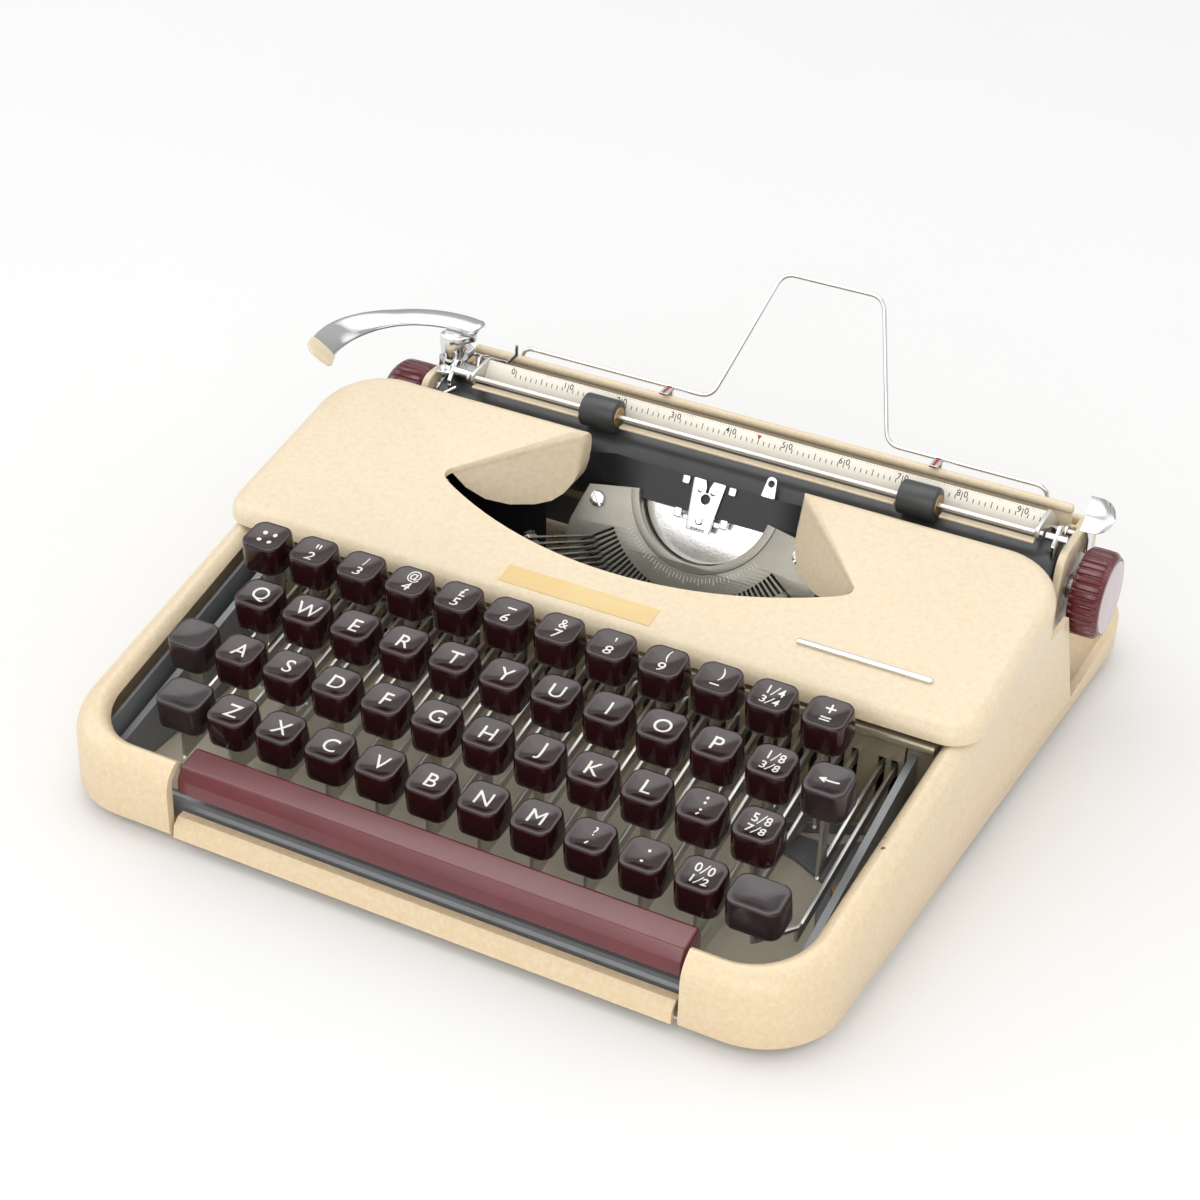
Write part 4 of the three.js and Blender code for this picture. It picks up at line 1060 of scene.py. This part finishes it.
for name, inner, outer, sign in (("left", -121.5, -136.5, -1), ("right", 141.2, 153, 1)):
    rim = knob(abs(outer - inner))
    face = lathe([(-0.6, 0.01), (-0.6, 13.1), (-0.1, 13.15), (0.0, 12.8), (0.05, 6),
                  (0.05, 0.01)], 96)
    if sign < 0:
        rim, face = mirrored(rim), mirrored(face)
    piece(f"{name}_knob_rim", on_platen(rim, inner), WINE, "platen",
          f"{name}_knob", 32)
    piece(f"{name}_knob_face", on_platen(face, outer - sign * 0.15), KNOB_CAP, "platen", angle=30)

# end plates and rail of the carriage
end_profile = rounded([(184, 28, 2), (218, 28, 2), (218, 66, 5), (209, 72.6, 5), (180, 72.6, 7),
                       (176.8, 60, 6), (177, 46, 4)], 8)
shaft_hole = circle(PLATEN_Y, PLATEN_Z, 4.2, 32)
piece("carriage_ends", joined(
    *[plate_x(end_profile, x, x + 3, 0.7, 3, [shaft_hole]) for x in (-119.5, 134.5)],
    block(-119.5, 137.5, 200, 214, 26, 30, 0.6)), CREAM, "carriage",
      "carriage_frame")


def sheet_x(outline, x0, x1, bevel, round_steps=4):
    return plate_x(rounded(outline, round_steps), x0, x1, bevel)


def carriage_fittings():
    """Screws, bail brackets, a spring and the line-space linkage at the platen's ends."""
    parts = []
    for x, sign in ((-119.5, -1), (137.5, 1)):
        sideways = Matrix.Rotation(math.radians(90 * sign), 4, "Y")
        parts += [at(turned(screw(2.6, 1.3, y * 0.11, 0.7), sideways), x, y, 40)
                  for y in (208, 186)]
    bracket = [(198, 62, 1), (206, 62, 1), (206, 70, 2), (201, 71, 2)]
    parts += [sheet_x(bracket, x - 0.5, x + 0.5, 0.2) for x in (-112.5, 130.5)]
    spring = [(-113 + 2.2 * math.cos(t * 0.7), 199 + t * 0.12, 74.4 + 2.2 * math.sin(t * 0.7))
              for t in range(60)]
    pawl = [(181, 68, 1), (187, 70, 1), (190, 78, 1.4), (186, 80.5, 1.4), (180, 74, 1)]
    right_pawl = [(181, 68, 1), (188, 70, 1), (190, 78, 1.4), (186, 79.5, 1.4), (180, 74, 1)]
    top_plate = [(-116, 184, 2), (-98, 190, 1.5), (-97, 194, 1.5), (-108, 196, 2), (-117, 194, 2)]
    link = [(192, 70, 1), (204, 70, 1), (203, 76, 1.4), (196, 79, 1.4)]
    return joined(
        *parts, tube(spring, 0.35, 8),
        standing([(0, 3.2), (1.6, 3.2), (2.2, 2.4), (2.2, 0.01)], 28, -108, 188, 74),
        plate([rounded(top_plate, 5)], 72.8, 74.0, 0.3),
        sheet_x(pawl, -108.2, -106.6, 0.3), bar_x(-107.4, -101, 184, 76.5, 1.6, 20),
        sheet_x(link, -103.8, -102.6, 0.3),
        tube([(-112, 205, 73.5), (-96, 205, 73.5), (-92, 205, 78), (-92, 205, 82)], 0.7, 10),
        tube(bent([(-116, 178, 66), (-110, 177, 68), (-104, 180, 72)], 3), 0.8, 10),
        sheet_x(right_pawl, 131.6, 133.0, 0.3), bar_x(128.6, 136.1, 184, 75.5, 1.5, 20))


piece("carriage_fittings", carriage_fittings(), CHROME, "carriage", angle=30)

# paper table, its rolled top edge and the sheet-metal back
table = [(196, 34.6), (207, 39), (210.4, 50), (208.4, 62), (210, 74), (208.6, 74), (207, 62),
         (208.9, 50.2), (206, 40), (196, 36)]
rolled_edge = lathe([(-112, 0.01), (-112, 1.2), (-111.6, 1.7), (-111, 1.8), (129, 1.8),
                     (129.6, 1.7), (130, 1.2), (130, 0.01)], 32)
piece("paper_table_sheet", joined(plate_x(table, -112, 130, 0.25), at(rolled_edge, 0, 209, 74)),
      CREAM, "carriage", "paper_table")
back = [(218.6, 34, 0.6), (221.6, 34, 0.6), (221.6, 66, 1.4), (218.6, 66, 1.4)]
piece("margin_bar", joined(
    sheet_x(back, -116, 134, 0.4, 5), bar_x(-113, 131, 213.4, 64, 1.3, 20),
    *[block(x, x + 3, 211.8, 219, 62, 65.6) for x in (-115.5, 130.5)]), CREAM, "carriage",
      "carriage_back_bar")

# paper bail: scale strip, rod, arms
strip = [(188.6, 73.6, 0.3), (189.9, 72.9, 0.3), (193.9, 79.3, 0.3), (192.6, 80.1, 0.3)]
piece("bail_strip", sheet_x(strip, -97.5, 126, 0.2, 2), STRIP, "paper_bail",
      "paper_bail")
bail_side = [(202, 66.4, 1), (205, 66.4, 1.2), (205.2, 70, 1), (193.6, 80.6, 1.5),
             (180.4, 79.2, 1.5), (180.2, 75, 1.5), (188, 73), (196, 72.3), (201, 69.2)]
piece("bail_rod", joined(
    *[sheet_x(bail_side, x - 0.75, x + 0.75, 0.25, 5) for x in (-97.5, 126)],
    *[bar_x(x0, x1, *BAIL_PIVOT, 1.2, 16) for x0, x1 in ((-116, -97.5), (126, 134))],
    bar_x(-98.6, 128, *BAIL_ROD, 1.05, 24), bar_x(-99.6, -98.4, *BAIL_ROD, 2.2, 20)),
      LEVER_STEEL, "paper_bail")
lip = [(179.4, 73.7, 0.3), (182.6, 73.7, 0.3), (182.6, 74.6, 0.3), (179.4, 74.6, 0.3)]
piece("bail_lip", joined(*[sheet_x(lip, x0, x1, 0.15, 3)
                           for x0, x1 in ((-97, -51.5), (-34.5, 74), (91, 125.5))]),
      CREAM, "paper_bail")

# the scale's figures lie on the strip's leaning front face
FACE_START = Vector((0, 188.75, 73.75))
FACE_UP = Vector((0, 4.0, 6.5)).normalized()
FACE_OUT = Vector((1, 0, 0)).cross(FACE_UP)
SCALE_ZERO, SCALE_STEP, SCALE_COUNT = -84.6, 2.24, 94
scale_to_datum = Matrix(((1, 0, 0, 0), (0, FACE_UP.y, FACE_OUT.y, FACE_START.y),
                         (0, FACE_UP.z, FACE_OUT.z, FACE_START.z), (0, 0, 0, 1)))
scale_ink = []
for k in range(SCALE_COUNT):
    x = SCALE_ZERO + k * SCALE_STEP
    tall = 3.0 if k % 10 == 0 else 2.3 if k % 5 == 0 else 1.5
    scale_ink.append(plate([corners(x - 0.16, x + 0.16, 3.2, 3.2 + tall)], -0.03, 0.06, 0.01, 0))
    if k == 0:
        scale_ink.append(lettering("0", 2.3, x - 1.3, 5.5, 0.05, 0.03))
    elif k % 10 == 0:
        scale_ink += [lettering(figure, 2.3, x + side, 5.5, 0.05, 0.03)
                      for figure, side in zip(str(k), (-1.35, 1.35))]
fine_marks = [-94 + 1.12 * i for i in range(194)]
scale_ink += [plate([corners(x, x + 0.45, 6.9, 7.05)], -0.02, 0.05, 0.01, 0) for x in fine_marks]
piece("scale_marks", turned(joined(*scale_ink), scale_to_datum), INK, "paper_bail")
pointer_x = SCALE_ZERO + 45 * SCALE_STEP
pointer = [(pointer_x - 0.9, 6.6), (pointer_x, 4.9), (pointer_x + 0.9, 6.6)]
piece("scale_pointer", turned(plate([pointer], -0.03, 0.08, 0.01, 0), scale_to_datum), RED,
      "paper_bail")

for name, x0, x1 in (("left", -50, -36), ("right", 75.5, 89.5)):
    body = f"bail_roller_{name}"
    tread = lathe([(x0, 4.2), (x0, 5.4), (x0 + 0.3, 6.0), (x0 + 0.9, 6.2), (x1 - 0.9, 6.2),
                   (x1 - 0.3, 6.0), (x1, 5.4), (x1, 4.2), (x1 - 0.4, 4.1), (x1 - 0.4, 2.0),
                   (x0 + 0.4, 2.0), (x0 + 0.4, 4.1)], 48)
    piece(f"roller_{name}_tread", at(tread, 0, *BAIL_ROD), RUBBER, body, body, 30)
    hub_profiles = [[(x, 1.95), (x, 3.8), (x + 0.35, 4.0), (x + 0.7, 3.8), (x + 0.7, 1.95)]
                    for x in (x0 - 0.35, x1 - 0.35)]
    hub = joined(*[lathe(profile, 32) for profile in hub_profiles])
    piece(f"roller_{name}_hub", at(hub, 0, *BAIL_ROD), BRASS, body, angle=30)

support = bent([(-96, 217.1, 68.5), (-96, 217.1, 75.2), (-15, 217.1, 75.2), (1, 240, 121),
                (41, 240, 121), (56, 217.1, 75.2), (118, 217.1, 75.2), (118, 217.1, 68.5)], 5, 8)
piece("support_wire", tube(support, 0.8, 14), CHROME, "paper_support",
      "paper_support")

for side, x in (("left", -30), ("right", 78)):
    body = f"margin_stop_{side}"
    channel = boolean(block(x - 4, x + 4, 210.6, 215.9, 61, 68, 0.5),
                      block(x - 5, x + 5, 211.7, 215.1, 60, 66, 0.1))
    stop = joined(channel, block(x - 1.5, x + 1.5, 211.2, 212.4, 67, 78, 0.2),
                  block(x - 1.5, x + 1.5, 206, 212.4, 77, 78))
    piece(f"stop_{side}", stop, CHROME, body, body, 30)
    piece(f"stop_{side}_mark", block(x - 0.5, x + 0.5, 206.2, 212.2, 77.9, 78.15, 0.05), RED, body)


# line-space and return lever: flat near its pivot, twisting upright towards the finger end
def smoothed(route, steps=5):
    """A Catmull-Rom curve through the points of a route."""
    points = [Vector(p) for p in route]
    smooth = []
    for k in range(len(points) - 1):
        p0, p1, p2, p3 = (points[min(max(k + j, 0), len(points) - 1)] for j in (-1, 0, 1, 2))
        for j in range(steps):
            t = j / steps
            smooth.append(0.5 * (2 * p1 + (p2 - p0) * t + (2 * p0 - 5 * p1 + 4 * p2 - p3) * t * t
                                 + (3 * p1 - p0 - 3 * p2 + p3) * t ** 3))
    return smooth + [points[-1]]


def return_blade():
    smooth = smoothed([
        (-103.6, 197.2, 89.7), (-107.5, 197.6, 89.75), (-112, 197.9, 89.8), (-120, 197.3, 89.7),
        (-129, 194.9, 89.3), (-136.4, 190.8, 88.8), (-142.6, 186.0, 88.1), (-147, 180.4, 87.4),
        (-149.6, 174, 86.9), (-150.4, 167.5, 86.6), (-149.8, 161, 86.4), (-148, 155, 86.3),
        (-145.6, 149.8, 86.3)])
    total = len(smooth) - 1
    loops = []
    for i, here in enumerate(smooth):
        s = i / total
        ahead = (smooth[min(i + 1, total)] - smooth[max(i - 1, 0)]).normalized()
        side = ahead.cross(Vector((0, 0, 1))).normalized()
        above = side.cross(ahead).normalized()
        twist = math.radians(12 + 30 * max(0, min(1, (s - 0.42) / 0.33)))
        wide = side * math.cos(twist) + above * math.sin(twist)
        thin = above * math.cos(twist) - side * math.sin(twist)
        end = min(1, s / 0.05, (1 - s) / 0.05)
        half_w = (4.7 + 0.9 * s * s) * (0.55 + 0.45 * math.sqrt(max(end, 0)))
        half_t = 0.95 * (0.6 + 0.4 * min(1, end * 2))
        arch = 0.9 * (1 - s)
        loop = []
        for t in (2 * math.pi * k / 28 for k in range(28)):
            rise = half_t * math.copysign(abs(math.sin(t)) ** 0.6, math.sin(t))
            rise += arch * (1 - math.cos(t) ** 2) - arch
            loop.append(here + wide * half_w * math.cos(t) + thin * rise)
        loops.append(loop)
    return loops


blade_loops = return_blade()
tip_from = int(len(blade_loops) * 0.86)
piece("return_blade", loft(blade_loops[:tip_from + 1]), LEVER_CHROME, "return_lever",
      "return_lever", 50)
tip_loops = []
for i, loop in enumerate(blade_loops[tip_from:]):
    centre = sum(loop, Vector()) / len(loop)
    tip_loops.append([centre + (p - centre) * (1.10 if i else 1.06) for p in loop])
piece("return_blade_tip", loft(tip_loops), CREAM, "return_lever", angle=50)
pivot = standing([(73.2, 5.2), (74, 5.5), (77, 5.5), (77.4, 4.2), (80, 4.2), (80.4, 5.0), (84, 5.2),
                  (86.5, 4.6), (87.6, 3.0), (87.6, 0.01)], 40, -113, 193)
neck = rounded([(-118, 189, 3), (-108, 189, 3), (-103, 198, 3), (-117, 200, 3)], 5)
piece("return_pivot", joined(pivot, plate([neck], 84.2, 87.0, 0.5)), CHROME, "return_lever",
      angle=30)

release_arm = rounded([(198, 63, 2.6), (204, 63, 2.6), (203.6, 71, 1), (197.6, 75.6, 0.4),
                       (194, 75.6, 0.4), (198, 70, 0.6)], 5)


def spoon():
    """A thumb paddle pressed into a shallow scoop that faces up and forward."""
    lean = math.radians(48)
    loops = []
    for i in range(15):
        u = i / 14
        half = 6.4 * math.sqrt(max(0.02, 1 - (max(0, u - 0.3) / 0.7) ** 2.2))
        loop = []
        for side, lift in ((1, 0.9), (-1, 0.0)):
            for k in range(15):
                v = (k / 14 * 2 - 1) * side
                rise = 1.6 * v * v + lift + 1.6 * u * u
                across = half * v
                loop.append((138.2 + 10.6 * u,
                             196.5 + across * math.cos(lean) - rise * math.sin(lean),
                             80.5 + across * math.sin(lean) + rise * math.cos(lean)))
        loops.append(loop)
    return loft(loops)


piece("release_spoon", joined(plate_x(release_arm, 138.2, 139.8, 0.4, 3), spoon()), CHROME,
      "release_lever", "release_lever", 40)

# ------------------------------------------------------------------ trim on the casing


def on_cover(shape, x, y):
    """Lays a flat shape on the cover's sloping top."""
    place = Matrix.Translation((x, y, COVER_TOP_AT + COVER_SLOPE * y))
    return turned(shape, place @ Matrix.Rotation(math.atan(COVER_SLOPE), 4, "X"))


def tape_outline(half_length, half_width):
    """A strip of tape whose edges waver and whose cut ends are ragged."""
    outline = []
    for side, long_seed, end_seed in ((1, 0, 5), (-1, 9, 15)):
        for k in range(25):
            waver = noise.noise(Vector((k * 0.7, long_seed, 3)))
            outline.append((side * half_length * (k / 12 - 1), 0.25 * waver - side * half_width))
        for k in range(8):
            ragged = noise.noise(Vector((k * 1.9, end_seed, 1)))
            along = (half_width - 0.1) * ((k + 0.5) / 4 - 1)
            outline.append((side * half_length + 0.7 * ragged, side * along))
    return outline


piece("tape_label", on_cover(plate([tape_outline(29, 4.3)], 0.02, 0.16, 0.03, 1), -3.4, 90.8), TAPE,
      "top_cover")
badge = rounded([(x, y, 1.05) for x, y in corners(-24, 24, -1.1, 1.1)])
piece("badge_bar", on_cover(plate([badge], 0.0, 1.3, 0.5, 3), 97.5, 99.5), CHROME, "top_cover")

# ------------------------------------------------------------------ floor, lights, camera

floor_mesh = bpy.data.meshes.new("floor")
floor_mesh.from_pydata([(-9, -6, 0), (9, -6, 0), (9, 12, 0), (-9, 12, 0)], [], [(0, 1, 2, 3)])
paper = Surface("floor_paper", (0.83, 0.83, 0.825), 0.7)
paper.tint(paper.remap(paper.noise(3, 2), 0.3, 0.7), (0.845, 0.845, 0.84))
floor_mesh.materials.append(paper.material)
linked("floor", floor_mesh)


def area_light(name, place, aim, width, height, watts):
    data = bpy.data.lights.new(name, "AREA")
    data.shape, data.size, data.size_y, data.energy = "RECTANGLE", width, height, watts
    light = linked(name, data)
    light.location = place
    light.rotation_mode = "QUATERNION"
    light.rotation_quaternion = (Vector(aim) - Vector(place)).to_track_quat("-Z", "Y")


area_light("overhead", (-0.25, 0.25, 1.5), (0, 0, 0), 1.8, 1.4, 4)
area_light("left_soft", (-1.6, -0.3, 0.9), (0, 0, 0.05), 1.2, 1.0, 2)
area_light("front_soft", (0.45, -1.25, 0.75), (0, 0, 0.05), 1.3, 1.1, 6)

# reflections only: where each soft box is, its inner and outer half angles and its strength
SOFT_BOXES = [((-0.2, 0.1, 0.97), 14, 38, 2.2), ((-0.9, -0.2, 0.45), 12, 30, 1.6),
              ((-0.25, -0.85, 0.5), 10, 26, 1.5), ((0.75, 0.3, 0.6), 8, 22, 1.0)]
TENT_STRENGTH = 0.93


def tent_world():
    """An even white tent for the paint; what reflects sees soft boxes in a darker room."""
    world = bpy.data.worlds.new("tent")
    world.use_nodes = True
    tree = world.node_tree
    background = tree.nodes["Background"]

    def node(kind, *values, **settings):
        made = tree.nodes.new(kind)
        for key, value in settings.items():
            setattr(made, key, value)
        for i, value in enumerate(values):
            if isinstance(value, (int, float)):
                made.inputs[i].default_value = value
            else:
                tree.links.new(value, made.inputs[i])
        return made

    where = node("ShaderNodeTexCoord").outputs["Generated"]
    height = node("ShaderNodeSeparateXYZ", where).outputs["Z"]
    reflected = node("ShaderNodeMapRange", height, -0.1, 0.6, 0.42, 0.78).outputs["Result"]
    for aim, inner, outer, bright in SOFT_BOXES:
        facing = node("ShaderNodeVectorMath", where, operation="DOT_PRODUCT")
        facing.inputs[1].default_value = Vector(aim).normalized()
        patch = node("ShaderNodeMapRange", facing.outputs["Value"], math.cos(math.radians(outer)),
                     math.cos(math.radians(inner)), 0.0, bright).outputs["Result"]
        reflected = node("ShaderNodeMath", reflected, patch, operation="ADD").outputs[0]
    glossy = node("ShaderNodeLightPath").outputs["Is Glossy Ray"]
    strength = node("ShaderNodeMix", glossy, data_type="FLOAT")
    strength.inputs["A"].default_value = TENT_STRENGTH
    tree.links.new(reflected, strength.inputs["B"])
    tree.links.new(strength.outputs["Result"], background.inputs["Strength"])
    background.inputs["Color"].default_value = (1, 1, 1, 1)
    return world


bpy.context.scene.world = tent_world()
bpy.context.scene.view_settings.view_transform = "Standard"

AZIMUTH, ELEVATION, ROLL = math.radians(26.71), math.radians(32.25), math.radians(2.08)
back = Vector((math.sin(AZIMUTH) * math.cos(ELEVATION), -math.cos(AZIMUTH) * math.cos(ELEVATION),
               math.sin(ELEVATION)))
right = Vector((math.cos(AZIMUTH), math.sin(AZIMUTH), 0))
up = back.cross(right)
camera = linked("camera", bpy.data.cameras.new("camera"))
axes = Matrix((right * math.cos(ROLL) + up * math.sin(ROLL),
               up * math.cos(ROLL) - right * math.sin(ROLL), back)).transposed()
camera.matrix_world = Matrix.Translation((0.3281, -0.6592, 0.5103)) @ axes.to_4x4()
camera.data.sensor_width, camera.data.lens = 36, 75.0
camera.data.clip_start, camera.data.clip_end = 0.05, 30
bpy.context.scene.camera = camera
